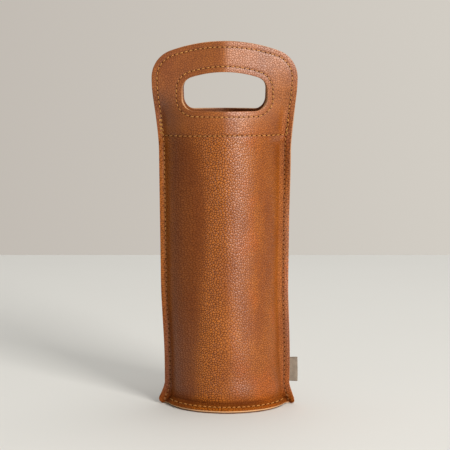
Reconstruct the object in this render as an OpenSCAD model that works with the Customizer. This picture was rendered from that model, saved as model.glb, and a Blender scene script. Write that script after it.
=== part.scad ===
// Leather bottle carrier. Two cut panels with hand holes are lined at the handles, sewn to each
// other along outward side seams and sewn to a lens-shaped base whose rim turns down to the floor.
// X runs across the carrier, the front faces -Y, and the floor is Z = 0.

/* [Carrier] */
// Height from the floor to the top of the handles
carrier_h = 363; // [350:1:400]
// Height of the side seams, from the floor to the mouth
seam_h = 287; // [270:1:292]
// Width over the side seams, just above the base flare
low_w = 125; // [115:1:132]
// Width over the side seams, where the mouth would be if the handles did not widen
high_w = 131; // [124:1:136]
// Front-to-back size of the body at the bottom, between the middles of the two leathers
low_d = 86; // [80:1:96]
// Front-to-back size at the mouth, between the middles of the two leathers
mouth_d = 82; // [78:1:92]

/* [Leather] */
// Thickness of the two outer panels
panel_t = 1.8; // [1.4:0.1:2.2]
// Thickness of the facings that line the handles
facing_t = 1.2; // [0.8:0.1:1.6]
// Thickness of the base
base_t = 2; // [1.4:0.1:2.4]
// Space between a panel and the leather that is sewn to it
layer_gap = 0.2; // [0.1:0.05:0.3]
// Space between the two panels in a side seam, which takes the label
seam_gap = 0.6; // [0.5:0.05:0.8]

/* [Handles] */
// Width of the handles at their widest
handle_w = 142.4; // [136:1:150]
// Radius of the arched top edge
arch_r = 160; // [140:1:190]
// Radius of the two shoulders
shoulder_r = 28; // [22:1:32]
// Height at which the panels begin to widen towards the handles
widen_z = 255; // [240:1:265]
// Front-to-back size between the middles of the two handle tops
top_d = 79; // [76:1:88]
// Front-to-back size between the free side edges of the two handles
edge_d = 44; // [30:1:52]
// Height over which a free side edge springs away from the top of the seam
spring_h = 53; // [40:1:60]
// Height over which the section changes from a sewn one to a free one
free_h = 32; // [24:1:40]

/* [Hand holes] */
// Width of a hand hole
hole_w = 83; // [76:1:86]
// Height of a hand hole
hole_h = 38; // [34:1:40]
// Leather left above the hand hole at the middle
bar_h = 29.5; // [26:0.5:34]
// Radius of the two upper corners
hole_upper_r = 13; // [12:1:16]
// Radius of the two lower corners
hole_lower_r = 12; // [10:1:14]
// Rise of the arched upper edge of the hole
hole_rise = 4; // [3:0.5:7]

/* [Side seams] */
// Width of the outward seam allowance, from the raw edge to the fold
seam_w = 6.5; // [6:0.5:8]
// Height over which the lower ends of the side seams spread
ear_h = 22; // [16:1:30]
// How far the lower ends of the side seams spread
ear_w = 7; // [6:0.5:8]
// Radius of the fold where a panel leaves the seam
fold_r = 5; // [4:0.5:6]
// Distance of every stitch line from its raw edge
stitch_inset = 5.4; // [4.5:0.1:5.6]

/* [Base] */
// Height over which the panels flare out to the base rim
flare_h = 12; // [11:1:16]
// How far the flare stands out at the floor
flare_w = 8; // [6:0.5:8]
// Radius of the rounded lower corners of the side seams
ear_r = 3; // [2:0.5:6]
// Height of the underside of the base above the floor
base_z = 7.5; // [7:0.5:9]
// Height of the base seam above the floor
base_stitch_z = 5; // [4.6:0.2:5.4]

/* [Facings] */
// Height of the lower edge of the facings
facing_low_z = 267; // [264:1:269]
// Height of the stitch line that holds the lower edge of the facings
hem_z = 271; // [270.5:0.5:274]

/* [Thread] */
// Length from one stitch hole to the next
stitch_pitch = 4.7; // [4.2:0.1:6]
// Leather that shows between two stitches
stitch_gap = 1; // [0.8:0.1:1.4]
// Height of the sewn-over stitches at the top of each side seam
tack_h = 16; // [10:1:24]
// Thickness of the thread
thread_d = 0.8; // [0.6:0.1:1]
// Space between a stitch and the leather under it
thread_seat = 0.1; // [0.08:0.01:0.15]

/* [Label] */
// How far the folded label stands out of the side seam
label_out = 8.2; // [5:0.1:8.4]
// How far the label reaches into the seam
label_in = 6; // [5.8:0.1:6.3]
// Height of the label
label_h = 24; // [16:1:28]
// Height of the label's lower edge above the floor
label_z = 22; // [20:1:60]
// Thickness of the folded label
label_t = 0.4; // [0.3:0.05:0.45]

/* [Hidden] */

tan_leather = "peru";
lining_leather = "sienna";
thread_colour = "goldenrod";
label_colour = "tan";

// How the flare and the seam ends gather towards the floor: 1 would be straight
flare_power = 1.25;
ear_power = 1.8;
// Shares of the way from the outer edge to the hand hole at which a handle's rings lie
ring_shares = [0, 0.09, 0.2, 0.36, 0.56, 0.78, 1];
// Shares of seam_h at which the plain part of the body has its rows
body_row_shares = [0.2, 0.36, 0.53, 0.7, 0.83, 0.89];
// Shares of flare_h at which the flare has its rows, and shares of the rest of ear_h
flare_row_shares = [0, 0.14, 0.34, 0.56, 0.78, 1];
ear_row_shares = [0.4, 1];
// The most that two rows between the mouth and the hand hole may lie apart
row_step = 12;
// Shares of the rim's height at which the base's rim has its loops
rim_row_shares = [0, 0.35, 0.7, 1];
// Share of panel_t that a slope is measured over
slope_share = 0.05;
// Share of the shoulder's quarter turn at which the sides of a handle meet its top
shoulder_share = 0.5;
// Share of the base thickness that rounds the turn from the base into its rim
turn_share = 0.6;
// Segments across the main curve of a panel, round a fold, up a handle's side, and over its top
arc_steps = 18;
fold_steps = 3;
side_steps = 10;
top_steps = 18;
// Points that a curve is sampled at before it is divided into equal lengths
fine_steps = 48;
thread_sides = 16;

hole_top_z = carrier_h - bar_h;
hole_bottom_z = hole_top_z - hole_h;
// The rows of a panel end here, and the rings round the hand hole begin
join_z = hole_bottom_z - stitch_inset - thread_d;
facing_step_h = stitch_inset + seam_w;
arch_z = carrier_h - arch_r;
shoulder_x = handle_w / 2 - shoulder_r;
shoulder_z = arch_z + sqrt(pow(arch_r - shoulder_r, 2) - pow(shoulder_x, 2));
shoulder_angle = atan2(shoulder_x, shoulder_z - arch_z);
slope_step = panel_t * slope_share;
facing_shift = -(panel_t / 2 + layer_gap + facing_t / 2);
face_out = panel_t / 2 + thread_seat + thread_d / 2;
face_in = -(panel_t / 2 + layer_gap + facing_t + thread_seat + thread_d / 2);

function mix(a, b, t) = a + (b - a) * t;
function ease(t) = let (u = min(max(t, 0), 1)) u * u * (3 - 2 * u);
function ease_out(t) = let (u = min(max(t, 0), 1)) u * (2 - u);
function last(list) = list[len(list) - 1];

// How much of a spread there is at a height: 1 at the floor, 0 from its own height up
function spread(z, h, power) = z >= h ? 0 : pow(1 - z / h, power);
function flare(z) = spread(z, flare_h, flare_power);

// Half the width between the raw side edges of a panel
function edge_x(z) =
    let (
        body = mix(low_w, high_w, z / seam_h) / 2 + ear_w * spread(z, ear_h, ear_power),
        corner = z >= ear_r ? 0 : ear_r - sqrt(pow(ear_r, 2) - pow(ear_r - z, 2)),
        widening = ease((z - widen_z) / (shoulder_z - widen_z))
    )
    mix(body - corner, handle_w / 2, widening);

// Half the width between the two folds, where a panel leaves its side seams
function fold_x(z) =
    let (
        body = mix(low_w, high_w, z / seam_h) / 2 + flare_w * flare(z),
        widening = ease((z - widen_z) / (shoulder_z - widen_z))
    )
    mix(body, handle_w / 2, widening) - seam_w;

// Distance of a panel's middle from the carrier's own middle plane: at its centre line, in the
// side seams, and along a handle's free side edge
function centre_y(z) = z <= seam_h
    ? mix(low_d, mouth_d, z / seam_h) / 2 + flare_w * flare(z)
    : mix(mouth_d, top_d, (z - seam_h) / (carrier_h - seam_h)) / 2;
function seam_y(z) = (seam_gap + panel_t) / 2
    + (facing_t + layer_gap) * ease(1 + (z - facing_low_z) / facing_step_h);
function free_edge_y(z) = mix(seam_y(z), edge_d / 2, ease_out((z - seam_h) / spring_h));

// The sewn section is a main arc, a reverse fold and a flat seam allowance. Its arc turns through
// section_turn to each side, with section_r as its radius.
function section_turn(z) = 2 * atan2(centre_y(z) - seam_y(z), fold_x(z));
function section_r(z) = fold_x(z) / sin(section_turn(z)) - fold_r;
function sewn_y(x, z) =
    let (a = fold_x(z), r = section_r(z), ax = abs(x))
    ax >= a ? seam_y(z)
    : ax >= r * sin(section_turn(z))
        ? seam_y(z) + fold_r - sqrt(pow(fold_r, 2) - pow(a - ax, 2))
        : centre_y(z) - r + sqrt(pow(r, 2) - pow(x, 2));
function free_y(x, z) =
    centre_y(z) - (centre_y(z) - free_edge_y(z)) * pow(2 * x / handle_w, 2);

// Distance of a panel's middle surface from the carrier's middle plane
function depth(x, z) = z <= seam_h
    ? sewn_y(x, z)
    : mix(sewn_y(x, z), free_y(x, z), ease((z - seam_h) / free_h));

// A point of the front panel, moved out of its middle surface along the surface's own normal.
// On the floor it is moved level, so that the raw edge stands flat.
function skin(p, out) =
    let (
        x = p[0],
        z = p[1],
        dx = (depth(x + slope_step, z) - depth(x - slope_step, z)) / (2 * slope_step),
        low = max(z - slope_step, 0),
        dz = (depth(x, z + slope_step) - depth(x, low)) / (z + slope_step - low),
        size = sqrt(dx * dx + 1 + dz * dz),
        middle = [x, -depth(x, z), z]
    )
    z <= 0
        ? middle + out * size / (dx * dx + 1) * [-dx, -1, 0]
        : middle + out / size * [-dx, -1, -dz];

// Points of a path in one plane, at equal lengths along it
function running(path, i = 0, sum = 0) = i >= len(path) ? []
    : concat([sum], running(path, i + 1, i + 1 < len(path) ? sum + norm(path[i + 1] - path[i]) : 0));
function divide(path, steps) =
    let (
        s = running(path),
        whole = last(s),
        xs = [for (i = [0:len(path) - 1]) [s[i], path[i][0]]],
        zs = [for (i = [0:len(path) - 1]) [s[i], path[i][1]]]
    )
    [for (i = [0:steps]) [lookup(whole * i / steps, xs), lookup(whole * i / steps, zs)]];
function reversed(path) = [for (i = [len(path) - 1:-1:0]) path[i]];
function flipped(path) = [for (p = reversed(path)) [-p[0], p[1]]];
function arc(c, r, from, to, steps = fine_steps) =
    [for (i = [0:steps]) let (t = mix(from, to, i / steps)) c + r * [sin(t), cos(t)]];

// Outline of a handle, as x and z in front view, kept inset from the raw edge. Angles turn from
// straight up towards +X.
function side_line(from_z, inset) =
    [for (i = [0:fine_steps]) let (z = mix(from_z, shoulder_z, i / fine_steps)) [edge_x(z) - inset, z]];
function shoulder(from, to, inset) = arc([shoulder_x, shoulder_z], shoulder_r - inset, from, to);
function arch(inset) = arc([0, arch_z], arch_r - inset, shoulder_angle, -shoulder_angle);
meet_angle = mix(90, shoulder_angle, shoulder_share);
function handle_side(from_z, inset) =
    concat(side_line(from_z, inset), shoulder(90, meet_angle, inset));
function handle_top(inset) =
    concat(
        shoulder(meet_angle, shoulder_angle, inset),
        arch(inset),
        flipped(shoulder(meet_angle, shoulder_angle, inset))
    );
function handle_edge(from_z, inset) =
    concat(handle_side(from_z, inset), handle_top(inset), flipped(handle_side(from_z, inset)));

// Outline of a hand hole, kept outset from its raw edge. It runs from the middle of one corner to
// the middle of the next.
hole_x = hole_w / 2;
hole_upper_x = hole_x - hole_upper_r;
hole_lower_x = hole_x - hole_lower_r;
hole_arch_r = (pow(hole_upper_x, 2) + pow(hole_rise, 2)) / (2 * hole_rise);
hole_arch_z = hole_top_z - hole_arch_r;
// Where the arched upper edge turns into an upper corner
hole_turn = asin(hole_upper_x / (hole_arch_r - hole_upper_r));
hole_upper_z = hole_arch_z + (hole_arch_r - hole_upper_r) * cos(hole_turn);
hole_lower_z = hole_bottom_z + hole_lower_r;
function hole_bottom(outset) = concat(
    arc([-hole_lower_x, hole_lower_z], hole_lower_r + outset, 225, 180),
    arc([hole_lower_x, hole_lower_z], hole_lower_r + outset, 180, 135)
);
function hole_side(outset) = concat(
    arc([hole_lower_x, hole_lower_z], hole_lower_r + outset, 135, 90),
    arc([hole_upper_x, hole_upper_z], hole_upper_r + outset, 90, 45)
);
function hole_top(outset) = concat(
    arc([hole_upper_x, hole_upper_z], hole_upper_r + outset, 45, hole_turn),
    arc([0, hole_arch_z], hole_arch_r + outset, hole_turn, -hole_turn),
    arc([-hole_upper_x, hole_upper_z], hole_upper_r + outset, -hole_turn, -45)
);
function hole_edge(outset) =
    concat(hole_bottom(outset), hole_side(outset), hole_top(outset), flipped(hole_side(outset)));

// Columns of a row: the raw edge, the folds and the main arc, from -X to +X
function half_row(z) =
    let (turn = section_turn(z), r = section_r(z))
    concat(
        [for (i = [0:arc_steps / 2]) r * sin(turn * 2 * i / arc_steps)],
        [for (i = [1:fold_steps]) fold_x(z) - fold_r * sin(turn * (1 - i / fold_steps))],
        [edge_x(z)]
    );
function row(z) =
    let (half = half_row(z), n = len(half))
    concat(
        [for (i = [n - 1:-1:1]) [-half[i], z]],
        [for (i = [0:n - 1]) [half[i], z]]
    );
columns = 2 * (arc_steps / 2 + fold_steps + 1);
loop_steps = columns + 2 * side_steps + top_steps;

// Rings of a handle: the outer one starts with the row at join_z, and the inner one is the hole
outer_ring = concat(
    row(join_z),
    [for (i = [1:side_steps]) divide(handle_side(join_z, 0), side_steps)[i]],
    [for (i = [1:top_steps]) divide(handle_top(0), top_steps)[i]],
    [for (i = [1:side_steps - 1]) divide(flipped(handle_side(join_z, 0)), side_steps)[i]]
);
inner_ring = concat(
    divide(hole_bottom(0), columns),
    [for (i = [1:side_steps]) divide(hole_side(0), side_steps)[i]],
    [for (i = [1:top_steps]) divide(hole_top(0), top_steps)[i]],
    [for (i = [1:side_steps - 1]) divide(flipped(hole_side(0)), side_steps)[i]]
);

mouth_steps = ceil((join_z - seam_h) / row_step);
mouth_rows = [for (i = [0:mouth_steps]) mix(seam_h, join_z, i / mouth_steps)];
panel_rows = concat(
    [for (s = flare_row_shares) s * flare_h],
    [for (s = ear_row_shares) mix(flare_h, ear_h, s)],
    [for (s = body_row_shares) s * seam_h],
    [mix(facing_low_z - facing_step_h, facing_low_z, 0.5), facing_low_z],
    mouth_rows
);
facing_rows = concat([facing_low_z, mix(facing_low_z, seam_h, 0.5)], mouth_rows);

// A sheet of leather, as two skins on the given rows and on the rings round the hand hole
module sheet(rows, shift, thickness) {
    flat = concat(
        [for (z = rows) for (p = row(z)) p],
        [for (k = [columns + 1:loop_steps - 1]) outer_ring[k]],
        [for (m = [1:len(ring_shares) - 1]) for (k = [0:loop_steps - 1])
            mix(outer_ring[k], inner_ring[k], ring_shares[m])]
    );
    wide = columns + 1;
    top = len(rows) - 1;
    rings = len(ring_shares) - 1;
    first_ring = len(rows) * wide;
    count = len(flat);
    function cell(i, j) = i * wide + j;
    function ring(m, k) =
        let (q = k % loop_steps)
        m > 0 ? first_ring + loop_steps - wide + (m - 1) * loop_steps + q
        : q < wide ? cell(top, q) : first_ring + q - wide;
    quads = concat(
        [for (i = [0:top - 1]) for (j = [0:columns - 1])
            [cell(i, j), cell(i, j + 1), cell(i + 1, j + 1), cell(i + 1, j)]],
        [for (m = [0:rings - 1]) for (k = [0:loop_steps - 1])
            [ring(m, k), ring(m, k + 1), ring(m + 1, k + 1), ring(m + 1, k)]]
    );
    rim = concat(
        [for (j = [0:columns - 1]) [cell(0, j), cell(0, j + 1)]],
        [for (i = [0:top - 1]) [cell(i, columns), cell(i + 1, columns)]],
        [for (k = [columns:loop_steps - 1]) [ring(0, k), ring(0, k + 1)]],
        [for (i = [0:top - 1]) [cell(i + 1, 0), cell(i, 0)]],
        [for (k = [0:loop_steps - 1]) [ring(rings, k + 1), ring(rings, k)]]
    );
    polyhedron(
        points = concat(
            [for (p = flat) skin(p, shift + thickness / 2)],
            [for (p = flat) skin(p, shift - thickness / 2)]
        ),
        faces = concat(
            [for (q = quads) [q[0], q[2], q[1]]],
            [for (q = quads) [q[0], q[3], q[2]]],
            [for (q = quads) count * [1, 1, 1] + [q[0], q[1], q[2]]],
            [for (q = quads) count * [1, 1, 1] + [q[0], q[2], q[3]]],
            [for (e = rim) [e[0], e[1], count + e[1]]],
            [for (e = rim) [e[0], count + e[1], count + e[0]]]
        )
    );
}

module panel() color(tan_leather) sheet(panel_rows, 0, panel_t);
module facing() color(lining_leather) sheet(facing_rows, facing_shift, facing_t);

// The base: a flat lens whose rim turns down inside the flared panels. A loop of it lies at height
// z, in from the middle of the panels by the given distance.
rim_out = panel_t / 2 + layer_gap;
rim_in = rim_out + base_t;
base_top_z = base_z + base_t;
function lean(z) = sqrt(1 + pow((centre_y(z + slope_step) - centre_y(z)) / slope_step, 2));
function base_loop(z, inset, level) =
    let (
        r = section_r(z) - inset * lean(z),
        back = section_r(z) - centre_y(z),
        turn = acos(back / r),
        front = [for (i = [0:arc_steps - 1]) let (t = mix(-turn, turn, i / arc_steps))
            [r * sin(t), back - r * cos(t), level]]
    )
    concat(front, [for (p = front) [-p[0], -p[1], level]]);

module base() {
    turn_r = base_t * turn_share;
    under = [for (s = rim_row_shares) s * (base_z - turn_r)];
    loops = concat(
        [base_loop(base_z, rim_in + turn_r, base_z)],
        [for (i = [len(under) - 1:-1:0]) base_loop(under[i], rim_in, under[i])],
        [for (z = under) base_loop(z, rim_out, z)],
        [base_loop(base_z, rim_out, base_z)],
        [base_loop(base_top_z, rim_out + turn_r, base_top_z)]
    );
    around = 2 * arc_steps;
    n = len(loops);
    color(tan_leather)
        polyhedron(
            points = [for (l = loops) for (p = l) p],
            faces = concat(
                [[for (k = [0:around - 1]) k]],
                [for (m = [0:n - 2]) for (k = [0:around - 1])
                    [m * around + k, (m + 1) * around + (k + 1) % around, m * around + (k + 1) % around]],
                [for (m = [0:n - 2]) for (k = [0:around - 1])
                    [m * around + k, (m + 1) * around + k, (m + 1) * around + (k + 1) % around]],
                [[for (k = [around - 1:-1:0]) (n - 1) * around + k]]
            )
        );
}

// The folded label, caught between the panels in the side seam at +X
module label() {
    raw_x = edge_x(label_z + label_h / 2);
    fold_x = raw_x + label_out - label_t / 2;
    color(label_colour)
        union() {
            translate([raw_x - label_in, -label_t / 2, label_z])
                cube([fold_x - raw_x + label_in, label_t, label_h]);
            translate([fold_x, 0, label_z])
                cylinder(h = label_h, d = label_t, $fn = thread_sides);
        }
}

// One stitch, as a length of thread between two points
module stitch(a, b) {
    v = b - a;
    l = norm(v);
    color(thread_colour)
        translate(a)
            rotate([0, acos(v[2] / l), atan2(v[1], v[0])])
                cylinder(h = l, d = thread_d, $fn = thread_sides);
}

// Stitches at the pitch along a path in front view, placed by a function of the path's points
function stitch_ends(path) =
    let (
        whole = last(running(path)),
        count = max(1, floor(whole / stitch_pitch)),
        fine = divide(path, count),
        share = stitch_gap / stitch_pitch / 2
    )
    [for (i = [0:count - 1]) [mix(fine[i], fine[i + 1], share), mix(fine[i], fine[i + 1], 1 - share)]];

// Stitches on both faces of a lined handle
module handle_stitching(path) {
    for (e = stitch_ends(path)) {
        stitch(skin(e[0], face_out), skin(e[1], face_out));
        stitch(skin(e[0], face_in), skin(e[1], face_in));
    }
}

module edge_stitching() handle_stitching(handle_edge(seam_h + thread_d, stitch_inset));
module hand_hole_stitching() handle_stitching(hole_edge(stitch_inset));
module hem_stitching() {
    reach = fold_x(hem_z) - fold_r;
    handle_stitching([for (i = [0:fine_steps]) [mix(-reach, reach, i / fine_steps), hem_z]]);
}

// Stitches along the side seam at +X, on the front and on the back of the carrier
module seam_run(from_z, to_z, inset) {
    path = [for (i = [0:fine_steps]) let (z = mix(from_z, to_z, i / fine_steps))
        [edge_x(z) - inset, z]];
    for (e = stitch_ends(path)) {
        a = skin(e[0], face_out);
        b = skin(e[1], face_out);
        for (side = [-1, 1])
            stitch([a[0], side * a[1], a[2]], [b[0], side * b[1], b[2]]);
    }
}

module seam_stitching() seam_run(ear_r, seam_h, stitch_inset);

// The second pass over the end of a side seam, next to the first towards the raw edge
module mouth_tack() seam_run(seam_h - tack_h, seam_h, stitch_inset - thread_d - thread_seat);

// Stitches of the base seam, all round the flare
module base_seam_stitching() {
    z = base_stitch_z;
    turn = section_turn(z);
    r = section_r(z);
    middle = [for (i = [0:fine_steps]) let (t = mix(-turn, turn, i / fine_steps))
        [r * sin(t), r * cos(t)]];
    for (e = stitch_ends(middle)) {
        a = skin([e[0][0], z], face_out);
        b = skin([e[1][0], z], face_out);
        stitch(a, b);
        rotate([0, 0, 180])
            stitch(a, b);
    }
}

module back() rotate([0, 0, 180]) children();

panel();  // front_panel
back() panel();  // back_panel
facing();  // front_facing
back() facing();  // back_facing
base();
label();  // side_label
edge_stitching();  // front_edge_stitching
back() edge_stitching();  // back_edge_stitching
hand_hole_stitching();  // front_hand_hole_stitching
back() hand_hole_stitching();  // back_hand_hole_stitching
hem_stitching();  // front_hem_stitching
back() hem_stitching();  // back_hem_stitching
back() seam_stitching();  // left_seam_stitching
seam_stitching();  // right_seam_stitching
back() mouth_tack();  // left_mouth_tack
mouth_tack();  // right_mouth_tack
base_seam_stitching();
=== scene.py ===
"""Leather bottle carrier: stitched panels, lined handles, a lens-shaped base and a side label.

Sizes are in millimetres until a point is placed in a mesh, which is in metres. X runs across the
carrier, the front faces -Y and the floor is Z = 0. Both panels are shaped as if they were the
front one, and the back one is then turned by half a turn.
"""
import logging
import math
from dataclasses import dataclass, field
from enum import Enum

import bmesh
import bpy
import numpy as np
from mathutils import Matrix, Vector
from mathutils.kdtree import KDTree


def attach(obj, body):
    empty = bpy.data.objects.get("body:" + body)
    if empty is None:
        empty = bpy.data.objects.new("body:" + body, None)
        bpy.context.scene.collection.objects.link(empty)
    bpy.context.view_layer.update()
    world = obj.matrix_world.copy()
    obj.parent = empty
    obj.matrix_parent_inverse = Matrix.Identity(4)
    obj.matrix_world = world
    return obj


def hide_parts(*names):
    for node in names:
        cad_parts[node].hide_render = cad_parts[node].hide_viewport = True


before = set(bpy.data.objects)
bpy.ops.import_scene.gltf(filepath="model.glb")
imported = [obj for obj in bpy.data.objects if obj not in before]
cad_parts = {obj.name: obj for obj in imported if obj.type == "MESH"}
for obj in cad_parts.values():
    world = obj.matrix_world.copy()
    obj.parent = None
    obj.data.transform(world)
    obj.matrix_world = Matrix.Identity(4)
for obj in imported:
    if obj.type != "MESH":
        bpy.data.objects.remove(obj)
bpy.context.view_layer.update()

MM = 0.001
MERGE = 0.02 * MM
BODY = "root"
LOG = logging.getLogger("bottle_carrier")
Array = np.ndarray
Mesh = bmesh.types.BMesh
Socket = bpy.types.NodeSocket
Colour = tuple[int, int, int]
Span = tuple[float, float]
Triple = tuple[float, float, float]


class Side(Enum):
    """The two panels, with the sign that turns a front point to its place."""

    FRONT = 1
    BACK = -1


class Face(Enum):
    """The two faces of a leather piece, counted from the outside of the carrier."""

    OUTER = 1
    INNER = -1


# Small curves that the shapes are written with


def mix(a: Array, b: Array, t: Array) -> Array:
    """Returns the value at the share t of the way from a to b."""
    return a + (b - a) * t


def ease(t: Array) -> Array:
    """Returns a smooth step from 0 to 1, flat outside that range."""
    u = np.clip(t, 0.0, 1.0)
    return u * u * (3.0 - 2.0 * u)


def ramp(place: Array, start: float, end: float) -> Array:
    """Returns a smooth step from 0 at start to 1 at end."""
    return ease((place - start) / (end - start))


def ease_out(t: Array) -> Array:
    """Returns a step that starts at full slope and levels out at 1."""
    u = np.clip(t, 0.0, 1.0)
    return u * (2.0 - u)


def hump(z: Array, at: float, width: float) -> Array:
    """Returns a round hump of height 1 about a place."""
    return np.exp(-(((z - at) / width) ** 2))


def waves(place: Array, *parts: Triple) -> Array:
    """Returns the sum of waves, each with its height, its length over 2 pi and its start."""
    return sum(height * np.sin(place / length + start) for height, length, start in parts)


def sampled(at: Array, along: Array, values: Array) -> Array:
    """Returns rows of values read off at places along them."""
    return np.stack([np.interp(at, along, column) for column in values.T], axis=1)


def running(path: Array) -> Array:
    """Returns the length along a path at each of its points."""
    steps = np.linalg.norm(np.diff(path, axis=0), axis=1)
    return np.concatenate([[0.0], np.cumsum(steps)])


def divide(path: Array, steps: int) -> Array:
    """Divides a path into equal lengths.

    Args:
        path: points, one a row.
        steps: how many lengths to make.

    Returns:
        The points between the lengths, with both ends.
    """
    along = running(path)
    return sampled(np.linspace(0.0, along[-1], steps + 1), along, path)


def arc(centre: tuple[float, float], radius: float, start: float, end: float) -> Array:
    """Returns points of an arc, with angles in degrees from straight up towards +X."""
    t = np.radians(np.linspace(start, end, 61))
    return np.stack([centre[0] + radius * np.sin(t), centre[1] + radius * np.cos(t)], axis=1)


def flipped(path: Array) -> Array:
    """Returns the path mirrored to the other side and run backwards."""
    return path[::-1] * np.array([-1.0, 1.0])


def joined(*paths: Array) -> Array:
    """Returns paths one after another, without the points that they share."""
    points = np.concatenate(paths)
    keep = np.concatenate([[True], np.linalg.norm(np.diff(points, axis=0), axis=1) > 1e-6])
    return points[keep]


# The form of the carrier


@dataclass(frozen=True)
class Outline:
    """Cut outline of a panel's handle and hand hole, in front view."""

    height: float = 363.0
    handle_width: float = 142.4
    arch_radius: float = 160.0
    shoulder_radius: float = 28.0
    widen_height: float = 255.0
    seam_height: float = 287.0
    low_width: float = 125.0
    high_width: float = 131.0
    ear_height: float = 22.0
    ear_spread: float = 8.0
    ear_power: float = 1.35
    ear_corner: float = 6.2
    seam_pull: float = 0.32
    hole_width: float = 83.0
    hole_height: float = 38.0
    hole_bar: float = 29.5
    hole_upper_radius: float = 13.0
    hole_lower_radius: float = 12.0
    hole_rise: float = 4.0

    @property
    def shoulder(self) -> tuple[float, float]:
        """Centre of the shoulder's arc at +X."""
        x = self.handle_width / 2 - self.shoulder_radius
        reach = self.arch_radius - self.shoulder_radius
        return x, self.height - self.arch_radius + math.sqrt(reach**2 - x**2)

    def widened(self, z: Array) -> Array:
        """Returns the share of the handle's greater width that is reached at a height."""
        return ramp(z, self.widen_height, self.shoulder[1])

    def plain_half(self, z: Array) -> Array:
        """Returns half the width over the side seams, without ears or handles."""
        return mix(self.low_width, self.high_width, z / self.seam_height) / 2

    def eared(self, z: Array) -> Array:
        """Returns the share of an ear's spread that is reached at a height."""
        return np.clip(1.0 - z / self.ear_height, 0.0, 1.0) ** self.ear_power

    def edge_x(self, z: Array) -> Array:
        """Returns half the width between the raw side edges at a height."""
        z = np.asarray(z, dtype=float)
        drop = np.clip(self.ear_corner - z, 0.0, self.ear_corner)
        corner = self.ear_corner - np.sqrt(self.ear_corner**2 - drop**2)
        body = self.plain_half(z) + self.ear_spread * self.eared(z) - corner
        return mix(body, self.handle_width / 2, self.widened(z))

    def inset_at(self, z: Array, inset: float) -> Array:
        """Returns a seam's distance from the raw edge, which grows towards an ear's tip."""
        return inset * (1.0 + self.seam_pull * self.eared(z))

    def side(self, low: float, inset: float) -> Array:
        """Returns the side edge at +X and the shoulder's lower half, kept inset.

        Args:
            low: height to start from.
            inset: distance inside the raw edge, which grows towards an ear's tip.

        Returns:
            The points.
        """
        centre = self.shoulder
        z = np.linspace(low, centre[1], 200)
        line = np.stack([self.edge_x(z) - self.inset_at(z, inset), z], axis=1)
        turn = mix(90.0, self.shoulder_turn, 0.5)
        return joined(line, arc(centre, self.shoulder_radius - inset, 90.0, turn))

    @property
    def shoulder_turn(self) -> float:
        """Angle at which a shoulder meets the arch, in degrees from straight up."""
        x, z = self.shoulder
        return math.degrees(math.atan2(x, z - self.height + self.arch_radius))

    def top(self, inset: float) -> Array:
        """Returns the arched top edge between the shoulders' middles, from +X to -X."""
        turn = self.shoulder_turn
        upper = arc(self.shoulder, self.shoulder_radius - inset, mix(90.0, turn, 0.5), turn)
        centre = (0.0, self.height - self.arch_radius)
        return joined(upper, arc(centre, self.arch_radius - inset, turn, -turn), flipped(upper))

    def edge(self, low: float, inset: float) -> Array:
        """Returns the whole raw edge from a height at +X, over the top, to that height at -X."""
        side = self.side(low, inset)
        return joined(side, self.top(inset), flipped(side))

    def hole(self, outset: float) -> tuple[Array, Array, Array, Array]:
        """Returns the hand hole's edge, kept outset, in four stretches.

        Args:
            outset: distance outside the hole's raw edge.

        Returns:
            The bottom from -X to +X, the side at +X upwards, the top from +X to -X, and the side
            at -X downwards.
        """
        top = self.height - self.hole_bar
        upper_x = self.hole_width / 2 - self.hole_upper_radius
        lower_x = self.hole_width / 2 - self.hole_lower_radius
        radius = (upper_x**2 + self.hole_rise**2) / (2 * self.hole_rise)
        turn = math.degrees(math.asin(upper_x / (radius - self.hole_upper_radius)))
        inner = radius - self.hole_upper_radius
        upper = (upper_x, top - radius + inner * math.cos(math.radians(turn)))
        lower = (lower_x, top - self.hole_height + self.hole_lower_radius)
        low_r, up_r = self.hole_lower_radius + outset, self.hole_upper_radius + outset
        bottom = joined(arc((-lower[0], lower[1]), low_r, 225, 180), arc(lower, low_r, 180, 135))
        side = joined(arc(lower, low_r, 135, 90), arc(upper, up_r, 90, 45))
        corner = arc(upper, up_r, 45, turn)
        crown = arc((0.0, top - radius), radius + outset, turn, -turn)
        return bottom, side, joined(corner, crown, flipped(corner)), flipped(side)


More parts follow.
